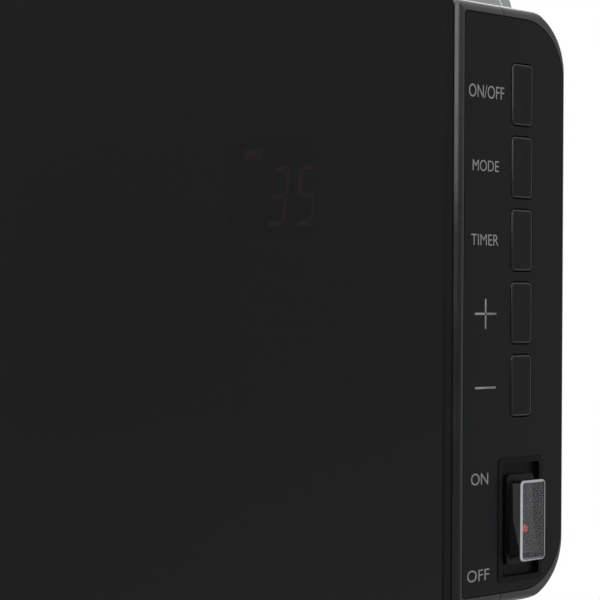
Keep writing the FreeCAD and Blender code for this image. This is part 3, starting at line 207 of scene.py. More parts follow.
# ------------------------------------------------------------------ fins
# Each fin is two pressed steel sheets seam-welded round the edge, with an oil loop and a middle
# channel pressed out between them. Necks at top and bottom are welded to the next fin's. The
# stack is powder coated in light silver grey, with a fine orange-peel surface.
def finish(name, colour, rough, shift=0.06, shift_scale=9.0, grain=0.12, grain_scale=900.0, metallic=0.0,
           specular=0.5, coat=0.0, coat_rough=0.1, wear=0.0, worn=(0.5, 0.5, 0.5), edge=0.0006, smudge=0.08):
    """A coated, moulded or bare surface: mottled colour, uneven gloss, fine relief, rubbed edges."""
    material = bpy.data.materials.new(name)
    material.use_nodes = True
    tree = material.node_tree
    shader = tree.nodes["Principled BSDF"]
    shader.inputs["Metallic"].default_value = metallic
    shader.inputs["Specular IOR Level"].default_value = specular
    shader.inputs["Coat Weight"].default_value = coat
    shader.inputs["Coat Roughness"].default_value = coat_rough
    place = tree.nodes.new("ShaderNodeTexCoord")
    mottle = tree.nodes.new("ShaderNodeTexNoise")
    mottle.inputs["Scale"].default_value = shift_scale
    mottle.inputs["Detail"].default_value = 5.0
    wire(tree, place, "Object", mottle, "Vector")
    tone = tree.nodes.new("ShaderNodeValToRGB")
    tone.color_ramp.elements[0].position = 0.3
    tone.color_ramp.elements[1].position = 0.7
    tone.color_ramp.elements[0].color = (*[c * (1 - shift) for c in colour], 1)
    tone.color_ramp.elements[1].color = (*[min(1, c * (1 + shift)) for c in colour], 1)
    wire(tree, mottle, "Fac", tone, "Fac")
    if wear > 0:
        rounded = tree.nodes.new("ShaderNodeBevel")
        rounded.samples = 4
        rounded.inputs["Radius"].default_value = edge
        flat = tree.nodes.new("ShaderNodeNewGeometry")
        along = tree.nodes.new("ShaderNodeVectorMath")
        along.operation = "DOT_PRODUCT"
        tree.links.new(rounded.outputs[0], along.inputs[0])
        tree.links.new(flat.outputs["Normal"], along.inputs[1])
        mask = tree.nodes.new("ShaderNodeMapRange")
        mask.inputs["From Min"].default_value = 1.0
        mask.inputs["From Max"].default_value = 0.86
        mask.inputs["To Max"].default_value = wear
        tree.links.new(along.outputs["Value"], mask.inputs["Value"])
        rub = tree.nodes.new("ShaderNodeMix")
        rub.data_type = "RGBA"
        tree.links.new(mask.outputs["Result"], rub.inputs["Factor"])
        tree.links.new(tone.outputs["Color"], rub.inputs[6])
        rub.inputs[7].default_value = (*worn, 1)
        tree.links.new(rub.outputs[2], shader.inputs["Base Color"])
    else:
        wire(tree, tone, "Color", shader, "Base Color")
    haze = tree.nodes.new("ShaderNodeTexNoise")
    haze.inputs["Scale"].default_value = shift_scale * 4
    haze.inputs["Detail"].default_value = 3.0
    wire(tree, place, "Object", haze, "Vector")
    gloss = tree.nodes.new("ShaderNodeMapRange")
    gloss.inputs["From Min"].default_value = 0.3
    gloss.inputs["From Max"].default_value = 0.7
    gloss.inputs["To Min"].default_value = max(0.02, rough * (1 - smudge))
    gloss.inputs["To Max"].default_value = min(1.0, rough * (1 + smudge))
    wire(tree, haze, "Fac", gloss, "Value")
    wire(tree, gloss, "Result", shader, "Roughness")
    if grain > 0:
        pores = tree.nodes.new("ShaderNodeTexNoise")
        pores.inputs["Scale"].default_value = grain_scale
        pores.inputs["Detail"].default_value = 2.0
        wire(tree, place, "Object", pores, "Vector")
        relief = tree.nodes.new("ShaderNodeBump")
        relief.inputs["Strength"].default_value = grain
        relief.inputs["Distance"].default_value = 0.0002
        wire(tree, pores, "Fac", relief, "Height")
        wire(tree, relief, "Normal", shader, "Normal")
    return material


def dress(material, *names):
    """Give CAD nodes their finish."""
    for name in names:
        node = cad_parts[name]
        node.data.materials.clear()
        node.data.materials.append(material)


fin_paint = finish("fin_paint", (0.31, 0.315, 0.32), 0.42, shift=0.04, grain=0.25, grain_scale=1400,
                   specular=0.45, coat=0.15, coat_rough=0.25, wear=0.35, worn=(0.5, 0.5, 0.5), edge=0.0008)

fin_count = 9
fin_low, fin_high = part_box("fin_2")
first_fin_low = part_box("fin_1")[0]
fin_pitch = fin_high.x - fin_low.x
bulge = 0.0065
sheet_half = 0.00065
first_fin_x = first_fin_low.x + bulge
fin_half_depth = (fin_high.y - fin_low.y) / 2
fin_corner = 0.038
seam_width = 0.009
channel_width = 0.024
header_inset = 0.048
neck_radius = 0.023
header_heights = (fin_low.z + header_inset, fin_high.z - header_inset)


shoulder_round = 0.0045


def pressed(t):
    """Height of the pressing across a channel, 0 to 1, with round shoulders."""
    run = min(t, 1 - t) * channel_width
    if run <= 0:
        return 0.0
    short = max(0.0, shoulder_round - run)
    height = bulge - shoulder_round + math.sqrt(shoulder_round ** 2 - short ** 2)
    return (height - sheet_half) / (bulge - sheet_half)


def fin_outline(inset, arc_steps=9, side_steps=6):
    """Points round the fin, drawn in by an inset, each corner an arc."""
    depth = fin_half_depth - inset
    low = fin_low.z + inset
    high = fin_high.z - inset
    radius = fin_corner - inset
    corners = [(depth - radius, high - radius, 0), (-(depth - radius), high - radius, 90),
               (-(depth - radius), low + radius, 180), (depth - radius, low + radius, 270)]
    points = []
    for y, z, start in corners:
        for step in range(arc_steps + 1):
            turn = math.radians(start + 90 * step / arc_steps)
            points.append((y + radius * math.cos(turn), z + radius * math.sin(turn)))
    full = []
    for i, point in enumerate(points):
        full.append(point)
        following = points[(i + 1) % len(points)]
        if (i + 1) % (arc_steps + 1) == 0:
            for step in range(1, side_steps):
                share = step / side_steps
                full.append((point[0] + (following[0] - point[0]) * share,
                             point[1] + (following[1] - point[1]) * share))
    return full


def oil_loop(mesh, x):
    """The welded edge and the pressed loop: one closed band, both sides."""
    insets = [0.0, 0.0006, seam_width * 0.55, seam_width]
    insets += [seam_width + channel_width * k / 16 for k in range(1, 17)]
    heights = [sheet_half * 0.55, sheet_half, sheet_half, sheet_half]
    heights += [sheet_half + (bulge - sheet_half) * pressed(k / 16) for k in range(1, 17)]
    rings = []
    for inset, height in zip(insets, heights):
        rings.append([mesh.verts.new((x + height, y, z)) for y, z in fin_outline(inset)])
    for inset, height in reversed(list(zip(insets, heights))):
        rings.append([mesh.verts.new((x - height, y, z)) for y, z in fin_outline(inset)])
    count = len(rings[0])
    for k, ring in enumerate(rings):
        after = rings[(k + 1) % len(rings)]
        for i in range(count):
            mesh.faces.new((ring[i], ring[(i + 1) % count], after[(i + 1) % count], after[i]))


def middle_sheet(mesh, x):
    """The flat between the loop's legs, with the middle channel pressed out of it."""
    reach = fin_half_depth - seam_width - channel_width + 0.002
    low = fin_low.z + seam_width + channel_width - 0.002
    high = fin_high.z - seam_width - channel_width + 0.002
    half = channel_width / 2
    across = [-reach, -half - 0.004] + [-half + channel_width * k / 16 for k in range(17)] + [half + 0.004, reach]
    levels = [low, header_heights[0], header_heights[0] + 0.001]
    levels += [header_heights[0] + (header_heights[1] - header_heights[0]) * k / 8 for k in range(1, 8)]
    levels += [header_heights[1] - 0.001, header_heights[1], high]
    sides = []
    for side in (1, -1):
        grid = []
        for k, z in enumerate(levels):
            open_channel = 2 <= k <= len(levels) - 3
            row = []
            for y in across:
                lift = pressed((y + half) / channel_width) if open_channel and abs(y) < half else 0.0
                row.append(mesh.verts.new((x + side * (sheet_half + (bulge - sheet_half) * lift), y, z)))
            grid.append(row)
        sides.append(grid)
        for k in range(len(levels) - 1):
            for i in range(len(across) - 1):
                mesh.faces.new((grid[k][i], grid[k][i + 1], grid[k + 1][i + 1], grid[k + 1][i]))
    front, back = sides
    rim_front = front[0] + [row[-1] for row in front[1:-1]] + front[-1][::-1] + [row[0] for row in front[-2:0:-1]]
    rim_back = back[0] + [row[-1] for row in back[1:-1]] + back[-1][::-1] + [row[0] for row in back[-2:0:-1]]
    for i in range(len(rim_front)):
        j = (i + 1) % len(rim_front)
        mesh.faces.new((rim_front[i], rim_front[j], rim_back[j], rim_back[i]))


def turned(mesh, start, axis, profile, steps=48, ring=False):
    """Solid of revolution: profile is (distance along the axis, radius) pairs, a loop for a ring."""
    axis = Vector(axis)
    across = axis.orthogonal().normalized()
    upright = axis.cross(across)
    rings = []
    for along, radius in profile:
        circle = []
        for k in range(steps):
            turn = 2 * math.pi * k / steps
            out = across * math.cos(turn) + upright * math.sin(turn)
            circle.append(mesh.verts.new(Vector(start) + axis * along + out * radius))
        rings.append(circle)
    pairs = list(zip(rings, rings[1:]))
    if ring:
        pairs.append((rings[-1], rings[0]))
    for circle, after in pairs:
        for i in range(steps):
            mesh.faces.new((circle[i], circle[(i + 1) % steps], after[(i + 1) % steps], after[i]))
    if not ring:
        mesh.faces.new(rings[0])
        mesh.faces.new(rings[-1])


def neck_half(side, length):
    """Half of a welded neck: a flare off the pressing, then the tube with a weld bead at its end."""
    flare = [(bulge * 0.55 + 0.0063 - 0.0055 * math.sin(math.radians(a)),
              neck_radius + 0.0075 * (1 - math.cos(math.radians(a)))) for a in range(90, -1, -15)]
    tube = [(length - 0.0028, neck_radius), (length - 0.0009, neck_radius - 0.0003), (length, neck_radius - 0.0009)]
    return [(side * along, radius) for along, radius in [(0.0, flare[0][1])] + flare + tube]


def closed_boss(side):
    """The blind end of a header on an end fin: a low dome with a stepped rim."""
    profile = [(0.0, neck_radius + 0.006), (bulge * 0.75, neck_radius + 0.0055), (bulge * 0.9, neck_radius + 0.002),
               (bulge, neck_radius - 0.003), (bulge, neck_radius - 0.006), (bulge - 0.0005, neck_radius - 0.008),
               (bulge - 0.0006, 0.006), (bulge - 0.0005, 0.0005)]
    return [(side * along, radius) for along, radius in profile]


def element_mouth():
    """The bottom header's flanged mouth, where the heating element bolts in."""
    reach = 0.012
    return [(0.0, neck_radius + 0.004), (bulge, neck_radius + 0.0005), (reach - 0.005, neck_radius),
            (reach - 0.005, 0.0316), (reach - 0.0046, 0.032), (reach - 0.0004, 0.032), (reach, 0.0316),
            (reach, 0.0215), (bulge, 0.0213)]


def finished(mesh, name, *materials):
    """Turn a worked mesh into a piece, with its faces pointing outwards."""
    bmesh.ops.recalc_face_normals(mesh, faces=mesh.faces)
    data = bpy.data.meshes.new(name)
    mesh.to_mesh(data)
    mesh.free()
    for material in materials:
        data.materials.append(material)
    data.shade_smooth()
    return link(bpy.data.objects.new(name, data))


for number in range(1, fin_count + 1):
    x = first_fin_x + (number - 1) * fin_pitch
    mesh = bmesh.new()
    oil_loop(mesh, x)
    middle_sheet(mesh, x)
    for place, z in enumerate(header_heights):
        left = closed_boss(-1) if number == 1 else neck_half(-1, fin_pitch / 2)
        if number < fin_count:
            right = neck_half(1, fin_pitch / 2)
        else:
            right = element_mouth() if place == 0 else closed_boss(1)
        turned(mesh, (x, 0, z), (1, 0, 0), left)
        turned(mesh, (x, 0, z), (1, 0, 0), right)
    fin = finished(mesh, "pressed_fin_%d" % number, fin_paint)
    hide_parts("fin_%d" % number)
    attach(fin, "radiator")

# A row of resistance welds runs round the seam of every fin.
weld_tree = bpy.data.node_groups.new("seam_welds", "GeometryNodeTree")
weld_tree.interface.new_socket("Geometry", in_out="INPUT", socket_type="NodeSocketGeometry")
weld_tree.interface.new_socket("Geometry", in_out="OUTPUT", socket_type="NodeSocketGeometry")
spacing_input = weld_tree.interface.new_socket("Weld spacing", in_out="INPUT", socket_type="NodeSocketFloat")
radius_input = weld_tree.interface.new_socket("Weld radius", in_out="INPUT", socket_type="NodeSocketFloat")
coat_input = weld_tree.interface.new_socket("Finish", in_out="INPUT", socket_type="NodeSocketMaterial")
nodes = weld_tree.nodes
entry = nodes.new("NodeGroupInput")
exit_node = nodes.new("NodeGroupOutput")
to_curve = nodes.new("GeometryNodeMeshToCurve")
spread = nodes.new("GeometryNodeCurveToPoints")
spread.mode = "LENGTH"
button = nodes.new("GeometryNodeMeshUVSphere")
button.inputs["Segments"].default_value = 10
button.inputs["Rings"].default_value = 5
squash_it = nodes.new("GeometryNodeTransform")
squash_it.inputs["Scale"].default_value = (0.28, 1.0, 1.0)
copies = nodes.new("GeometryNodeInstanceOnPoints")
solid = nodes.new("GeometryNodeRealizeInstances")
coat = nodes.new("GeometryNodeSetMaterial")
wire(weld_tree, entry, "Geometry", to_curve, "Mesh")
wire(weld_tree, to_curve, "Curve", spread, "Curve")
wire(weld_tree, entry, "Weld spacing", spread, "Length")
wire(weld_tree, entry, "Weld radius", button, "Radius")
wire(weld_tree, button, "Mesh", squash_it, "Geometry")
wire(weld_tree, spread, "Points", copies, "Points")
wire(weld_tree, squash_it, "Geometry", copies, "Instance")
wire(weld_tree, copies, "Instances", solid, "Geometry")
wire(weld_tree, solid, "Geometry", coat, "Geometry")
wire(weld_tree, entry, "Finish", coat, "Material")
wire(weld_tree, coat, "Geometry", exit_node, "Geometry")

guide_verts = []
guide_edges = []
for number in range(fin_count):
    for side in (-1, 1):
        line = [(first_fin_x + number * fin_pitch + side * sheet_half, y, z) for y, z in fin_outline(seam_width * 0.5)]
        start = len(guide_verts)
        guide_verts += line
        guide_edges += [(start + i, start + (i + 1) % len(line)) for i in range(len(line))]
guide = bpy.data.meshes.new("seam_line")
guide.from_pydata(guide_verts, guide_edges, [])
guide_holder = link(bpy.data.objects.new("seam_line", guide))


def grown(holder, group, settings, name):
    """Runs a node tree on a guide and returns the result as a plain mesh piece."""
    growth = holder.modifiers.new("growth", "NODES")
    growth.node_group = group
    for socket, value in settings:
        growth[socket.identifier] = value
    bpy.context.view_layer.update()
    depsgraph = bpy.context.evaluated_depsgraph_get()
    data = bpy.data.meshes.new_from_object(holder.evaluated_get(depsgraph), depsgraph=depsgraph)
    bpy.data.objects.remove(holder)
    data.name = name
    return link(bpy.data.objects.new(name, data))


welds = grown(guide_holder, weld_tree, [(spacing_input, 0.016), (radius_input, 0.0019), (coat_input, fin_paint)],
              "seam_weld_dimples")
welds.data.shade_smooth()
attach(welds, "radiator")

# Inside the fins: the oil, and the element that heats it. They show only when the stack is cut open.
dress(finish("heating_oil", (0.62, 0.45, 0.12), 0.12, shift=0.05, grain=0), "thermal_oil")
element_steel = finish("element_sheath", (0.30, 0.29, 0.28), 0.38, shift=0.15, shift_scale=40, metallic=0.9,
                       grain=0.2, grain_scale=700)
dress(element_steel, "heating_element")


# ------------------------------------------------------------------ element mouth
# The element's flange is zinc plated steel on a black fibre gasket, drawn up by four hexagon bolts.
# Beside it the thermal cut-out is a tinned can with two tabs.
zinc = finish("bright_zinc", (0.56, 0.56, 0.54), 0.30, shift=0.12, shift_scale=60, metallic=0.95, grain=0.25,
              grain_scale=500, wear=0.5, worn=(0.75, 0.75, 0.74), edge=0.0004, smudge=0.3)
tin = finish("tinned_can", (0.60, 0.60, 0.59), 0.25, shift=0.08, shift_scale=70, metallic=1.0, grain=0.1, smudge=0.3)
gasket_fibre = finish("gasket_fibre", (0.06, 0.055, 0.05), 0.85, shift=0.3, shift_scale=150, grain=0.6,
                      grain_scale=600)
dress(zinc, "element_flange", "flange_bolts")
dress(gasket_fibre, "element_gasket")
dress(tin, "thermal_cutout")


# ------------------------------------------------------------------ terminal housing
# The element's terminals sit under a black moulded cover with a fine spark-eroded texture, screwed
# to the side bracket. The mains cord enters through a ribbed gland, and a duct takes wires up.
moulded = finish("textured_moulding", (0.022, 0.022, 0.023), 0.55, shift=0.10, grain=0.55, grain_scale=1500,
                 wear=0.25, worn=(0.07, 0.07, 0.07), edge=0.0005, smudge=0.12)
dress(moulded, "terminal_cover", "wire_duct", "cord_gland")


# ------------------------------------------------------------------ rails and side bracket
# Two folded steel channels carry the glass. Hooks hold them to the header necks, and foam pads lie
# between them and the glass. All are black powder coated except the zinc plated hooks.
bracket_paint = finish("black_powder_coat", (0.030, 0.030, 0.032), 0.48, shift=0.08, grain=0.4, grain_scale=1200,
                       wear=0.4, worn=(0.14, 0.14, 0.14), edge=0.0005)
foam = finish("foam_pad", (0.018, 0.018, 0.018), 0.95, shift=0.3, shift_scale=300, grain=0.9, grain_scale=1500)
dress(bracket_paint, "upper_rail", "lower_rail", "side_bracket")
dress(foam, "glass_pads")
dress(zinc, "rail_hooks")


# ------------------------------------------------------------------ front glass
# Toughened glass, painted black on its back except for a smoked window over the display. Its
# edges are ground to a small bevel and its corners are rounded.
glass_black = finish("black_painted_glass", (0.0058, 0.0058, 0.0066), 0.05, shift=0.10, shift_scale=3.0,
                     grain=0, specular=0.5, smudge=0.35)
ground_edge = finish("ground_glass_edge", (0.0030, 0.0030, 0.0031), 0.45, shift=0.12, shift_scale=60, grain=0.2,
                     specular=0.08)
glass_corner = 0.008
glass_bevel = 0.0006
display_low, display_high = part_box("display_module")
lamp_low, lamp_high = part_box("indicator_lamp")
window_low = Vector((lamp_low.x - 0.002, 0, display_low.z - 0.002))
window_high = Vector((display_high.x + 0.002, 0, lamp_high.z + 0.002))


def round_rectangle(low_a, high_a, low_b, high_b, radius, steps=8):
    """Points round a rectangle with round corners, in two directions."""
    points = []
    for a, b, start in ((high_a - radius, high_b - radius, 0), (low_a + radius, high_b - radius, 90),
                        (low_a + radius, low_b + radius, 180), (high_a - radius, low_b + radius, 270)):
        for step in range(steps + 1):
            turn = math.radians(start + 90 * step / steps)
            points.append((a + radius * math.cos(turn), b + radius * math.sin(turn)))
    return points


def bridge(mesh, first, second):
    count = len(first)
    return [mesh.faces.new((first[i], first[(i + 1) % count], second[(i + 1) % count], second[i]))
            for i in range(count)]


def outline_ring(mesh, points, y):
    return [mesh.verts.new((x, y, z)) for x, z in points]


def edges_round(mesh, ring):
    return [mesh.edges.get((ring[i], ring[(i + 1) % len(ring)])) for i in range(len(ring))]


mesh = bmesh.new()
outer = []
for inset, y in ((glass_bevel, glass_low.y), (0.0, glass_low.y + glass_bevel), (0.0, glass_high.y - glass_bevel),
                 (glass_bevel, glass_high.y)):
    outer.append(outline_ring(mesh, round_rectangle(glass_low.x + inset, glass_high.x - inset, glass_low.z + inset,
                                                    glass_high.z - inset, glass_corner - inset), y))
opening = [outline_ring(mesh, round_rectangle(window_low.x, window_high.x, window_low.z, window_high.z, 0.0015), y)
           for y in (glass_low.y, glass_high.y)]
for first, second in zip(outer, outer[1:]):
    for face in bridge(mesh, first, second):
        face.material_index = 1
bridge(mesh, *opening)
for rim, hole in ((outer[0], opening[0]), (outer[-1], opening[1])):
    bmesh.ops.triangle_fill(mesh, edges=edges_round(mesh, rim) + edges_round(mesh, hole))
plate = finished(mesh, "glass_plate", glass_black, ground_edge)
for face in plate.data.polygons:
    face.use_smooth = False
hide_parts("front_glass")
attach(plate, "radiator")

smoked = finish("smoked_window", (0.0058, 0.0058, 0.0066), 0.05, shift=0.10, shift_scale=3.0,
                grain=0, specular=0.58, smudge=0.35)
smoked.node_tree.nodes["Principled BSDF"].inputs["Alpha"].default_value = 0.86
smoked.surface_render_method = "BLENDED"
mesh = bmesh.new()
pane = [outline_ring(mesh, round_rectangle(window_low.x, window_high.x, window_low.z, window_high.z, 0.0015), y)
        for y in (glass_low.y, glass_high.y - 0.0001)]
bridge(mesh, *pane)
mesh.faces.new(pane[0])
mesh.faces.new(pane[1])
window = finished(mesh, "display_window", smoked)
for face in window.data.polygons:
    face.use_smooth = False
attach(window, "radiator")


# ------------------------------------------------------------------ display
# Two red seven-segment digits with a slanted face, on a black moulded module. A small red lamp
# beside them shows that the element is on. Both are dim behind the smoked window.
dress(finish("display_face", (0.003, 0.0027, 0.0027), 0.45, shift=0.1, grain=0.1, specular=0.2), "display_module")


def lit(name, body, glow, strength):
    """Translucent red plastic with a light behind it."""
    material = finish(name, body, 0.35, shift=0.15, shift_scale=200, grain=0.1, specular=0.3)
    shader = material.node_tree.nodes["Principled BSDF"]
    shader.inputs["Emission Color"].default_value = (*glow, 1)
    shader.inputs["Emission Strength"].default_value = strength
    return material


segment_red = lit("segment_red", (0.03, 0.006, 0.005), (1.0, 0.22, 0.18), 0.42)
digit_rise = 0.0095
digit_half = 0.0042
digit_pitch = 0.0150
bar_half = 0.0009
digit_slant = math.tan(math.radians(10))
digit_face = display_low.y - 0.0001
digit_middle = Vector(((display_low.x + display_high.x) / 2, 0, (display_low.z + display_high.z) / 2))
segments = {"a": (0, digit_rise, 0), "g": (0, 0, 0), "d": (0, -digit_rise, 0),
            "f": (-digit_half, digit_rise / 2, 1), "b": (digit_half, digit_rise / 2, 1),
            "e": (-digit_half, -digit_rise / 2, 1), "c": (digit_half, -digit_rise / 2, 1)}


def seven_segments(name, lit_bars, middle_x):
    mesh = bmesh.new()
    for bar in lit_bars:
        across, up, upright = segments[bar]
        half = (digit_rise / 2 if upright else digit_half) - 0.0003
        shape = [(-half, 0), (-half + bar_half, bar_half), (half - bar_half, bar_half), (half, 0),
                 (half - bar_half, -bar_half), (-half + bar_half, -bar_half)]
        rings = []
        for y in (digit_face, digit_face + 0.0001):
            ring = []
            for along, wide in shape:
                dx, dz = (wide, along) if upright else (along, wide)
                z = up + dz
                ring.append(mesh.verts.new((middle_x + across + dx + z * digit_slant, y, digit_middle.z + z)))
            rings.append(ring)
        bridge(mesh, *rings)
        mesh.faces.new(rings[0])
        mesh.faces.new(rings[1])
    piece = finished(mesh, name, segment_red)
    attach(piece, "radiator")


seven_segments("digit_tens", "abgcd", digit_middle.x - digit_pitch / 2)
seven_segments("digit_units", "afgcd", digit_middle.x + digit_pitch / 2)
dress(lit("lamp_lens", (0.03, 0.005, 0.003), (1.0, 0.24, 0.09), 0.34), "indicator_lamp")


# ------------------------------------------------------------------ control pod
# Two glossy black ABS shells meet at an upright joint, with a satin side panel let in flush.
gloss_black = finish("gloss_black_abs", (0.0040, 0.0040, 0.0042), 0.16, shift=0.15, shift_scale=14, grain=0.05,
                     grain_scale=400, specular=0.5, wear=0.10, worn=(0.03, 0.03, 0.03), smudge=0.3)
satin_black = finish("satin_black_abs", (0.0044, 0.0050, 0.0058), 0.36, shift=0.05, grain=0.10, grain_scale=1800,
                     specular=0.085, smudge=0.10)
dress(gloss_black, "pod_front_shell", "pod_rear_shell")
dress(satin_black, "control_panel")


# ------------------------------------------------------------------ keys and their labels
# Five push keys stand just proud of the side panel, each a hollow cap with a rolled edge and a
# plunger behind. Grey silk-screened labels and signs stand beside them and beside the switch.
key_black = finish("key_black_abs", (0.0044, 0.0048, 0.0056), 0.34, shift=0.05, grain=0.06, grain_scale=1800,
                   specular=0.085, smudge=0.12)
key_edge = finish("key_rolled_edge", (0.0040, 0.0042, 0.0048), 0.20, shift=0.05, grain=0.05, grain_scale=1800,
                  specular=0.32, smudge=0.12)
key_flange = 0.001
key_corner = 0.0016
key_roll = 0.0007
panel_low, panel_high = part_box("control_panel")
panel_x = panel_high.x


def side_ring(mesh, points, x):
    return [mesh.verts.new((x, y, z)) for y, z in points]


def key_cap(name):
    low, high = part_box(name)
    y0, y1 = low.y + key_flange, high.y - key_flange
    z0, z1 = low.z + key_flange, high.z - key_flange
    back = panel_low.x + 0.004
    mesh = bmesh.new()
    rings = [side_ring(mesh, round_rectangle(y0, y1, z0, z1, key_corner), panel_x - 0.002)]
    for step in range(7):
        turn = math.radians(90 * step / 6)
        inset = key_roll * (1 - math.cos(turn))
        rings.append(side_ring(mesh, round_rectangle(y0 + inset, y1 - inset, z0 + inset, z1 - inset,
                                                     key_corner - inset), high.x - key_roll * (1 - math.sin(turn))))
    dish = round_rectangle(y0 + 0.0026, y1 - 0.0026, z0 + 0.0026, z1 - 0.0026, 0.0006)
    rings.append(side_ring(mesh, dish, high.x - 0.00012))
    for first, second in zip(rings[:-1], rings[1:-1]):
        for face in bridge(mesh, first, second):
            face.material_index = 1
    bridge(mesh, rings[-2], rings[-1])
    mesh.faces.new(rings[0])
    mesh.faces.new(rings[-1])
    flange_back = panel_x - 0.0038
    flange = [side_ring(mesh, round_rectangle(low.y, high.y, low.z, high.z, key_corner + key_flange), x)
              for x in (flange_back, panel_x - 0.0023)]
    bridge(mesh, *flange)
    mesh.faces.new(flange[0])
    mesh.faces.new(flange[1])
    middle = ((low.y + high.y) / 2, (low.z + high.z) / 2)
    turned(mesh, (low.x, *middle), (1, 0, 0), [(0, 0.0012), (0.0005, 0.00175), (flange_back - low.x, 0.00175)], 16)
    piece = finished(mesh, name + "_cap", key_black, key_edge)
    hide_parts(name)
    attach(piece, name)
    return middle[1]


key_heights = [key_cap(name) for name in ("key_on_off", "key_mode", "key_timer", "key_plus", "key_minus")]

label_ink = finish("label_ink", (0.25, 0.25, 0.255), 0.6, shift=0.12, shift_scale=300, grain=0.2, grain_scale=900,
                   specular=0.2)
ink_height = 0.00004
label_drop = 0.0003
stroke = 0.0007


def label(name, words, near, far, middle, tall, thin=-0.004):
    """Letters on the side panel, fitted between two distances behind the glass's face."""
    writing = bpy.data.curves.new(name, "FONT")
    writing.body = words
    writing.offset = thin
    writing.extrude = 0.01
    holder = link(bpy.data.objects.new(name + "_outline", writing))
    bpy.context.view_layer.update()
    data = bpy.data.meshes.new_from_object(holder.evaluated_get(bpy.context.evaluated_depsgraph_get()))
    bpy.data.objects.remove(holder)
    across = [v.co.x for v in data.vertices]
    up = [v.co.y for v in data.vertices]
    wide = (far - near) / (max(across) - min(across))
    high = tall / (max(up) - min(up))
    for v in data.vertices:
        raised = ink_height if v.co.z > 0 else 0.0
        v.co = Vector((panel_x + raised, glass_low.y + near + (v.co.x - min(across)) * wide,
                       middle - tall / 2 + (v.co.y - min(up)) * high))
    data.materials.append(label_ink)
    piece = link(bpy.data.objects.new(name, data))
    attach(piece, "radiator")


def printed_bar(name, near, far, middle, tall):
    """A straight printed stroke with square ends."""
    mesh = bmesh.new()
    rings = [[mesh.verts.new((x, glass_low.y + y, middle + z)) for y, z in
              ((near, -tall / 2), (far, -tall / 2), (far, tall / 2), (near, tall / 2))]
             for x in (panel_x, panel_x + ink_height)]
    bridge(mesh, *rings)
    mesh.faces.new(rings[0])
    mesh.faces.new(rings[1])
    piece = finished(mesh, name, label_ink)
    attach(piece, "radiator")


label("label_on_off", "ON/OFF", 0.0108, 0.0274, key_heights[0] - label_drop, 0.0041)
label("label_mode", "MODE", 0.0127, 0.0250, key_heights[1] - label_drop, 0.0035)
label("label_timer", "TIMER", 0.0122, 0.0250, key_heights[2] - label_drop, 0.0035)
printed_bar("label_plus_bar", 0.0141, 0.0242, key_heights[3] - label_drop, stroke)
printed_bar("label_plus_upright", 0.01915 - stroke / 2, 0.01915 + stroke / 2, key_heights[3] - label_drop, 0.0096)
printed_bar("label_minus_bar", 0.0143, 0.0241, key_heights[4] - label_drop, stroke)
bezel_low, bezel_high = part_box("switch_bezel")
switch_z = (bezel_low.z + bezel_high.z) / 2
label("label_on", "ON", 0.0127, 0.0207, switch_z + 0.01405, 0.0037)
label("label_off", "OFF", 0.0111, 0.0214, switch_z - 0.01655, 0.0037)


# ------------------------------------------------------------------ boards inside the pod
# Green boards with black components, tact switches under the keys, and the tip-over switch.
solder_mask = finish("solder_mask", (0.015, 0.10, 0.045), 0.35, shift=0.2, shift_scale=120, grain=0.3, grain_scale=600)
component = finish("component_case", (0.02, 0.02, 0.022), 0.5, shift=0.15, shift_scale=90, grain=0.3, grain_scale=900)
dress(solder_mask, "keypad_board", "power_board", "display_board")
dress(component, "tact_switches", "power_components", "room_sensor", "tilt_switch_body")
dress(tin, "tilt_pendulum")


# ------------------------------------------------------------------ power switch
# A slim rocker switch clips into a shallow black bezel. Its rocker is smoked plastic with a red
# lamp lens, and a clear polycarbonate splash cover clips over it.
bezel_black = finish("bezel_black", (0.0020, 0.0020, 0.0022), 0.40, shift=0.08, grain=0.12, grain_scale=1500,
                     specular=0.07, wear=0.35, worn=(0.010, 0.014, 0.014), edge=0.0003)
switch_black = finish("switch_black", (0.0028, 0.0028, 0.0030), 0.45, shift=0.08, grain=0.12, grain_scale=1500,
                      specular=0.12)
dress(bezel_black, "switch_bezel")
dress(switch_black, "switch_body")
dress(finish("smoked_rocker", (0.0060, 0.0050, 0.0055), 0.30, shift=0.1, grain=0.1, specular=0.25), "switch_rocker")

rocker_low, rocker_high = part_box("switch_rocker")
rocker_mid_y = (rocker_low.y + rocker_high.y) / 2
lens_red = lit("rocker_lens_red", (0.30, 0.020, 0.022), (1.0, 0.16, 0.17), 0.10)
mesh = bmesh.new()
lens_place = Vector((panel_x + 0.0012, rocker_mid_y - 0.0003, switch_z - 0.0044))
bmesh.ops.create_uvsphere(mesh, u_segments=28, v_segments=14, radius=1.0)
for v in mesh.verts:
    v.co = lens_place + Vector((v.co.x * 0.0012, v.co.y * 0.0038, v.co.z * 0.0030))
lens = finished(mesh, "rocker_lens", lens_red)
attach(lens, "switch_rocker")


def clear(name, haze, alpha, rough):
    """Clear polycarbonate, hardly seen face on; its tint and opacity set a painted tone, pale for a painted highlight
    on the moulded edges and near-black for painted shade on the sides.
    """
    material = finish(name, haze, rough, shift=0.10, shift_scale=150, grain=0.05, specular=0.5)
    material.node_tree.nodes["Principled BSDF"].inputs["Alpha"].default_value = alpha
    material.surface_render_method = "BLENDED"
    return material


# The rolled rim is a pale, half-opaque copy of the clear plastic, a painted highlight along the cover's edges; the
# upright sides are a near-black copy, painted shade; the face keeps a faint grey veil.
cover_face = clear("clear_cover_face", (0.42, 0.42, 0.44), 0.075, 0.12)
cover_rim_painted_highlight = clear("clear_cover_rim", (0.72, 0.73, 0.75), 0.55, 0.15)
cover_side_painted_shade = clear("clear_cover_side", (0.05, 0.05, 0.05), 0.06, 0.12)
cover_low, cover_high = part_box("switch_cover")
cover_wall = 0.0006
cover_corner = 0.0016
cover_roll = 0.0006
mesh = bmesh.new()


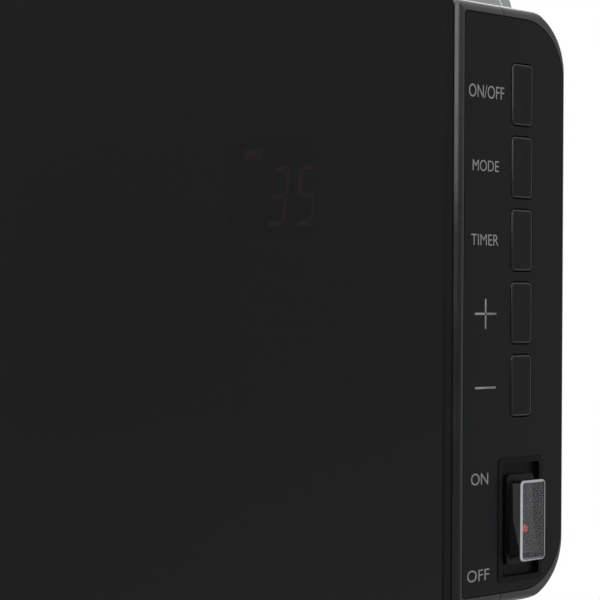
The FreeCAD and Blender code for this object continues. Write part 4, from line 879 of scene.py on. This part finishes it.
def cover_ring(inset, x):
    return side_ring(mesh, round_rectangle(cover_low.y + inset, cover_high.y - inset, cover_low.z + inset,
                                           cover_high.z - inset, cover_corner - min(inset, 0.001)), x)


rings = [cover_ring(0.0, cover_low.x)]
for step in range(6):
    turn = math.radians(18 * step)
    rings.append(cover_ring(cover_roll * (1 - math.cos(turn)), cover_high.x - cover_roll * (1 - math.sin(turn))))
inner = [cover_ring(cover_wall + 0.0003, cover_high.x - cover_wall), cover_ring(cover_wall, cover_high.x - cover_wall - 0.0003),
         cover_ring(cover_wall, cover_low.x)]
sides = bridge(mesh, rings[0], rings[1]) + bridge(mesh, inner[1], inner[2]) + bridge(mesh, inner[2], rings[0])
rims = []
for first, second in zip(rings[1:], rings[2:]):
    rims += bridge(mesh, first, second)
rims += bridge(mesh, inner[0], inner[1])
mesh.faces.new(rings[-1])
mesh.faces.new(inner[0])
# Sides take the painted-shade copy, the rolled rim the painted-highlight copy.
for face in sides:
    face.material_index = 2
for face in rims:
    face.material_index = 1
cover = finished(mesh, "splash_cover", cover_face, cover_rim_painted_highlight, cover_side_painted_shade)
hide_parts("switch_cover")
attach(cover, "radiator")


# ------------------------------------------------------------------ screws
# Zinc plated self-tapping screws with cross recesses, and the two rivets that hold the pod.
dress(zinc, "case_screws")
# The cross recesses are thin near-black slabs laid on the screw heads: painted shade where the real recess would be
# dark.
recess_dark = finish("recess_shadow", (0.03, 0.03, 0.03), 0.6, shift=0.2, grain=0.2, metallic=0.6)


def loose_solids(node):
    """The corner points of each separate solid of a CAD node."""
    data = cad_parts[node].data
    keys = {}
    parent = []

    def root(i):
        while parent[i] != i:
            parent[i] = parent[parent[i]]
            i = parent[i]
        return i

    index = []
    for v in data.vertices:
        key = tuple(round(c * 20000) for c in v.co)
        if key not in keys:
            keys[key] = len(parent)
            parent.append(len(parent))
        index.append(keys[key])
    for face in data.polygons:
        first = root(index[face.vertices[0]])
        for corner in face.vertices[1:]:
            parent[root(index[corner])] = first
    groups = {}
    for v, i in zip(data.vertices, index):
        groups.setdefault(root(i), []).append(v.co.copy())
    return list(groups.values())


recess_tree = bpy.data.node_groups.new("cross_recesses", "GeometryNodeTree")
recess_tree.interface.new_socket("Geometry", in_out="INPUT", socket_type="NodeSocketGeometry")
recess_tree.interface.new_socket("Geometry", in_out="OUTPUT", socket_type="NodeSocketGeometry")
slot_length = recess_tree.interface.new_socket("Slot length", in_out="INPUT", socket_type="NodeSocketFloat")
slot_width = recess_tree.interface.new_socket("Slot width", in_out="INPUT", socket_type="NodeSocketFloat")
slot_finish = recess_tree.interface.new_socket("Finish", in_out="INPUT", socket_type="NodeSocketMaterial")
nodes = recess_tree.nodes
entry = nodes.new("NodeGroupInput")
exit_node = nodes.new("NodeGroupOutput")
joined = nodes.new("GeometryNodeJoinGeometry")
for first, second in (("Slot length", "Slot width"), ("Slot width", "Slot length")):
    bar = nodes.new("GeometryNodeMeshCube")
    size = nodes.new("ShaderNodeCombineXYZ")
    wire(recess_tree, entry, first, size, "X")
    wire(recess_tree, entry, second, size, "Y")
    size.inputs["Z"].default_value = 0.00012
    wire(recess_tree, size, "Vector", bar, "Size")
    wire(recess_tree, bar, "Mesh", joined, "Geometry")
copies = nodes.new("GeometryNodeInstanceOnPoints")
facing = nodes.new("FunctionNodeAlignRotationToVector")
facing.axis = "Z"
normal = nodes.new("GeometryNodeInputNamedAttribute")
normal.data_type = "FLOAT_VECTOR"
normal.inputs["Name"].default_value = "facing"
solid = nodes.new("GeometryNodeRealizeInstances")
coat = nodes.new("GeometryNodeSetMaterial")
wire(recess_tree, normal, "Attribute", facing, "Vector")
wire(recess_tree, entry, "Geometry", copies, "Points")
wire(recess_tree, joined, "Geometry", copies, "Instance")
wire(recess_tree, facing, "Rotation", copies, "Rotation")
wire(recess_tree, copies, "Instances", solid, "Geometry")
wire(recess_tree, solid, "Geometry", coat, "Geometry")
wire(recess_tree, entry, "Finish", coat, "Material")
wire(recess_tree, coat, "Geometry", exit_node, "Geometry")

heads = []
facings = []
for points in loose_solids("case_screws"):
    low = Vector([min(p[k] for p in points) for k in range(3)])
    high = Vector([max(p[k] for p in points) for k in range(3)])
    axis = max(range(3), key=lambda k: high[k] - low[k])
    middle = (low + high) / 2
    spread = {}
    for side, end in ((-1, low[axis]), (1, high[axis])):
        near = [p for p in points if abs(p[axis] - end) < 0.0002]
        spread[side] = max((p - middle).length for p in near) if near else 0.0
        spread[side] = max(max(abs(p[k] - middle[k]) for k in range(3) if k != axis) for p in near)
    side = 1 if spread[1] > spread[-1] else -1
    if spread[side] < 0.0035:
        place = middle.copy()
        place[axis] = high[axis] if side > 0 else low[axis]
        heads.append(place)
        direction = [0.0, 0.0, 0.0]
        direction[axis] = float(side)
        facings.append(direction)
guide = bpy.data.meshes.new("screw_heads")
guide.from_pydata([tuple(p) for p in heads], [], [])
towards = guide.attributes.new("facing", "FLOAT_VECTOR", "POINT")
for entry_value, direction in zip(towards.data, facings):
    entry_value.vector = direction
recesses = grown(link(bpy.data.objects.new("screw_heads", guide)), recess_tree,
                 [(slot_length, 0.0022), (slot_width, 0.0006), (slot_finish, recess_dark)], "screw_recesses")
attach(recesses, "radiator")


# ------------------------------------------------------------------ handle
# A moulded bar stands on two posts, clamped to the upper header by zinc plated U-bolts. Ribs
# under the bar keep fingers from slipping.
dress(moulded, "top_handle")
dress(zinc, "handle_clamps")
handle_low, handle_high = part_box("top_handle")
grip_height = 0.022
rib_tree = bpy.data.node_groups.new("grip_ribs", "GeometryNodeTree")
rib_tree.interface.new_socket("Geometry", in_out="INPUT", socket_type="NodeSocketGeometry")
rib_tree.interface.new_socket("Geometry", in_out="OUTPUT", socket_type="NodeSocketGeometry")
rib_spacing = rib_tree.interface.new_socket("Rib spacing", in_out="INPUT", socket_type="NodeSocketFloat")
rib_length = rib_tree.interface.new_socket("Rib length", in_out="INPUT", socket_type="NodeSocketFloat")
rib_radius = rib_tree.interface.new_socket("Rib radius", in_out="INPUT", socket_type="NodeSocketFloat")
rib_finish = rib_tree.interface.new_socket("Finish", in_out="INPUT", socket_type="NodeSocketMaterial")
nodes = rib_tree.nodes
entry = nodes.new("NodeGroupInput")
exit_node = nodes.new("NodeGroupOutput")
to_curve = nodes.new("GeometryNodeMeshToCurve")
spread_out = nodes.new("GeometryNodeCurveToPoints")
spread_out.mode = "LENGTH"
rib = nodes.new("GeometryNodeMeshCylinder")
rib.inputs["Vertices"].default_value = 12
lying = nodes.new("GeometryNodeTransform")
lying.inputs["Rotation"].default_value = (math.pi / 2, 0, 0)
copies = nodes.new("GeometryNodeInstanceOnPoints")
solid = nodes.new("GeometryNodeRealizeInstances")
coat = nodes.new("GeometryNodeSetMaterial")
wire(rib_tree, entry, "Geometry", to_curve, "Mesh")
wire(rib_tree, to_curve, "Curve", spread_out, "Curve")
wire(rib_tree, entry, "Rib spacing", spread_out, "Length")
wire(rib_tree, entry, "Rib radius", rib, "Radius")
wire(rib_tree, entry, "Rib length", rib, "Depth")
wire(rib_tree, rib, "Mesh", lying, "Geometry")
wire(rib_tree, spread_out, "Points", copies, "Points")
wire(rib_tree, lying, "Geometry", copies, "Instance")
wire(rib_tree, copies, "Instances", solid, "Geometry")
wire(rib_tree, solid, "Geometry", coat, "Geometry")
wire(rib_tree, entry, "Finish", coat, "Material")
wire(rib_tree, coat, "Geometry", exit_node, "Geometry")
ribs_z = handle_high.z - grip_height + 0.0004
ribs_half = (handle_high.x - handle_low.x) / 2 - 0.042
handle_x = (handle_low.x + handle_high.x) / 2
guide = bpy.data.meshes.new("rib_line")
guide.from_pydata([(handle_x - ribs_half, 0, ribs_z), (handle_x + ribs_half, 0, ribs_z)], [(0, 1)], [])
ribs = grown(link(bpy.data.objects.new("rib_line", guide)), rib_tree,
             [(rib_spacing, 0.006), (rib_length, 0.016), (rib_radius, 0.0011), (rib_finish, moulded)], "grip_ribs")
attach(ribs, "radiator")


# ------------------------------------------------------------------ feet
# Two moulded feet hang from the lower header on U-bolts with wing nuts.
dress(moulded, "left_foot", "right_foot")
dress(zinc, "foot_clamps")


# ------------------------------------------------------------------ castors
# Pressed steel forks swivel under the feet and carry nylon wheels. Each wheel has a grooved
# tread and a dished web with ribs.
nylon = finish("wheel_nylon", (0.028, 0.028, 0.028), 0.45, shift=0.12, shift_scale=50, grain=0.35, grain_scale=900,
               wear=0.3, worn=(0.09, 0.09, 0.09))
wheel_bore = 0.00255
spoke_tree = bpy.data.node_groups.new("wheel_spokes", "GeometryNodeTree")
spoke_tree.interface.new_socket("Geometry", in_out="INPUT", socket_type="NodeSocketGeometry")
spoke_tree.interface.new_socket("Geometry", in_out="OUTPUT", socket_type="NodeSocketGeometry")
spoke_count = spoke_tree.interface.new_socket("Spokes", in_out="INPUT", socket_type="NodeSocketInt")
spoke_radius = spoke_tree.interface.new_socket("Middle radius", in_out="INPUT", socket_type="NodeSocketFloat")
spoke_size = spoke_tree.interface.new_socket("Spoke size", in_out="INPUT", socket_type="NodeSocketVector")
spoke_finish = spoke_tree.interface.new_socket("Finish", in_out="INPUT", socket_type="NodeSocketMaterial")
nodes = spoke_tree.nodes
entry = nodes.new("NodeGroupInput")
exit_node = nodes.new("NodeGroupOutput")
circle = nodes.new("GeometryNodeCurvePrimitiveCircle")
spread_out = nodes.new("GeometryNodeCurveToPoints")
spread_out.mode = "COUNT"
spoke = nodes.new("GeometryNodeMeshCube")
copies = nodes.new("GeometryNodeInstanceOnPoints")
placed = nodes.new("GeometryNodeInstanceOnPoints")
solid = nodes.new("GeometryNodeRealizeInstances")
coat = nodes.new("GeometryNodeSetMaterial")
wire(spoke_tree, entry, "Middle radius", circle, "Radius")
wire(spoke_tree, circle, "Curve", spread_out, "Curve")
wire(spoke_tree, entry, "Spokes", spread_out, "Count")
wire(spoke_tree, entry, "Spoke size", spoke, "Size")
wire(spoke_tree, spread_out, "Points", copies, "Points")
wire(spoke_tree, spread_out, "Rotation", copies, "Rotation")
wire(spoke_tree, spoke, "Mesh", copies, "Instance")
wire(spoke_tree, entry, "Geometry", placed, "Points")
wire(spoke_tree, copies, "Instances", placed, "Instance")
placed.inputs["Rotation"].default_value = (math.pi / 2, 0, 0)
wire(spoke_tree, placed, "Instances", solid, "Geometry")
wire(spoke_tree, solid, "Geometry", coat, "Geometry")
wire(spoke_tree, entry, "Finish", coat, "Material")
wire(spoke_tree, coat, "Geometry", exit_node, "Geometry")


def castor_wheel(tag):
    node = "castor_wheel_" + tag
    low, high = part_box(node)
    centre = (low + high) / 2
    radius = (high.z - low.z) / 2
    half = (high.y - low.y) / 2
    outside = [(-half, wheel_bore), (-half, 0.0062), (-half + 0.0026, 0.0068), (-half + 0.0026, 0.0142),
               (-half, 0.0148), (-half, radius - 0.0026), (-half + 0.0008, radius - 0.0008), (-half + 0.0026, radius)]
    tread = []
    for groove in (-0.0030, 0.0, 0.0030):
        tread += [(groove - 0.0006, radius), (groove - 0.0003, radius - 0.0007), (groove + 0.0003, radius - 0.0007),
                  (groove + 0.0006, radius)]
    profile = outside + tread + [(-along, r) for along, r in reversed(outside)]
    mesh = bmesh.new()
    turned(mesh, centre, (0, 1, 0), profile, 56, ring=True)
    wheel = finished(mesh, "nylon_wheel_" + tag, nylon)
    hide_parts(node)
    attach(wheel, node)
    guide = bpy.data.meshes.new("hub_faces")
    guide.from_pydata([tuple(centre + Vector((0, side * (half - 0.0018), 0))) for side in (-1, 1)], [], [])
    spokes = grown(link(bpy.data.objects.new("hub_faces", guide)), spoke_tree,
                   [(spoke_count, 8), (spoke_radius, 0.0105), (spoke_size, (0.0012, 0.0078, 0.0022)),
                    (spoke_finish, nylon)], "wheel_ribs_" + tag)
    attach(spokes, node)


for foot in ("left", "right"):
    for end in ("front", "rear"):
        dress(zinc, "castor_fork_%s_%s" % (foot, end))
        castor_wheel("%s_%s" % (foot, end))
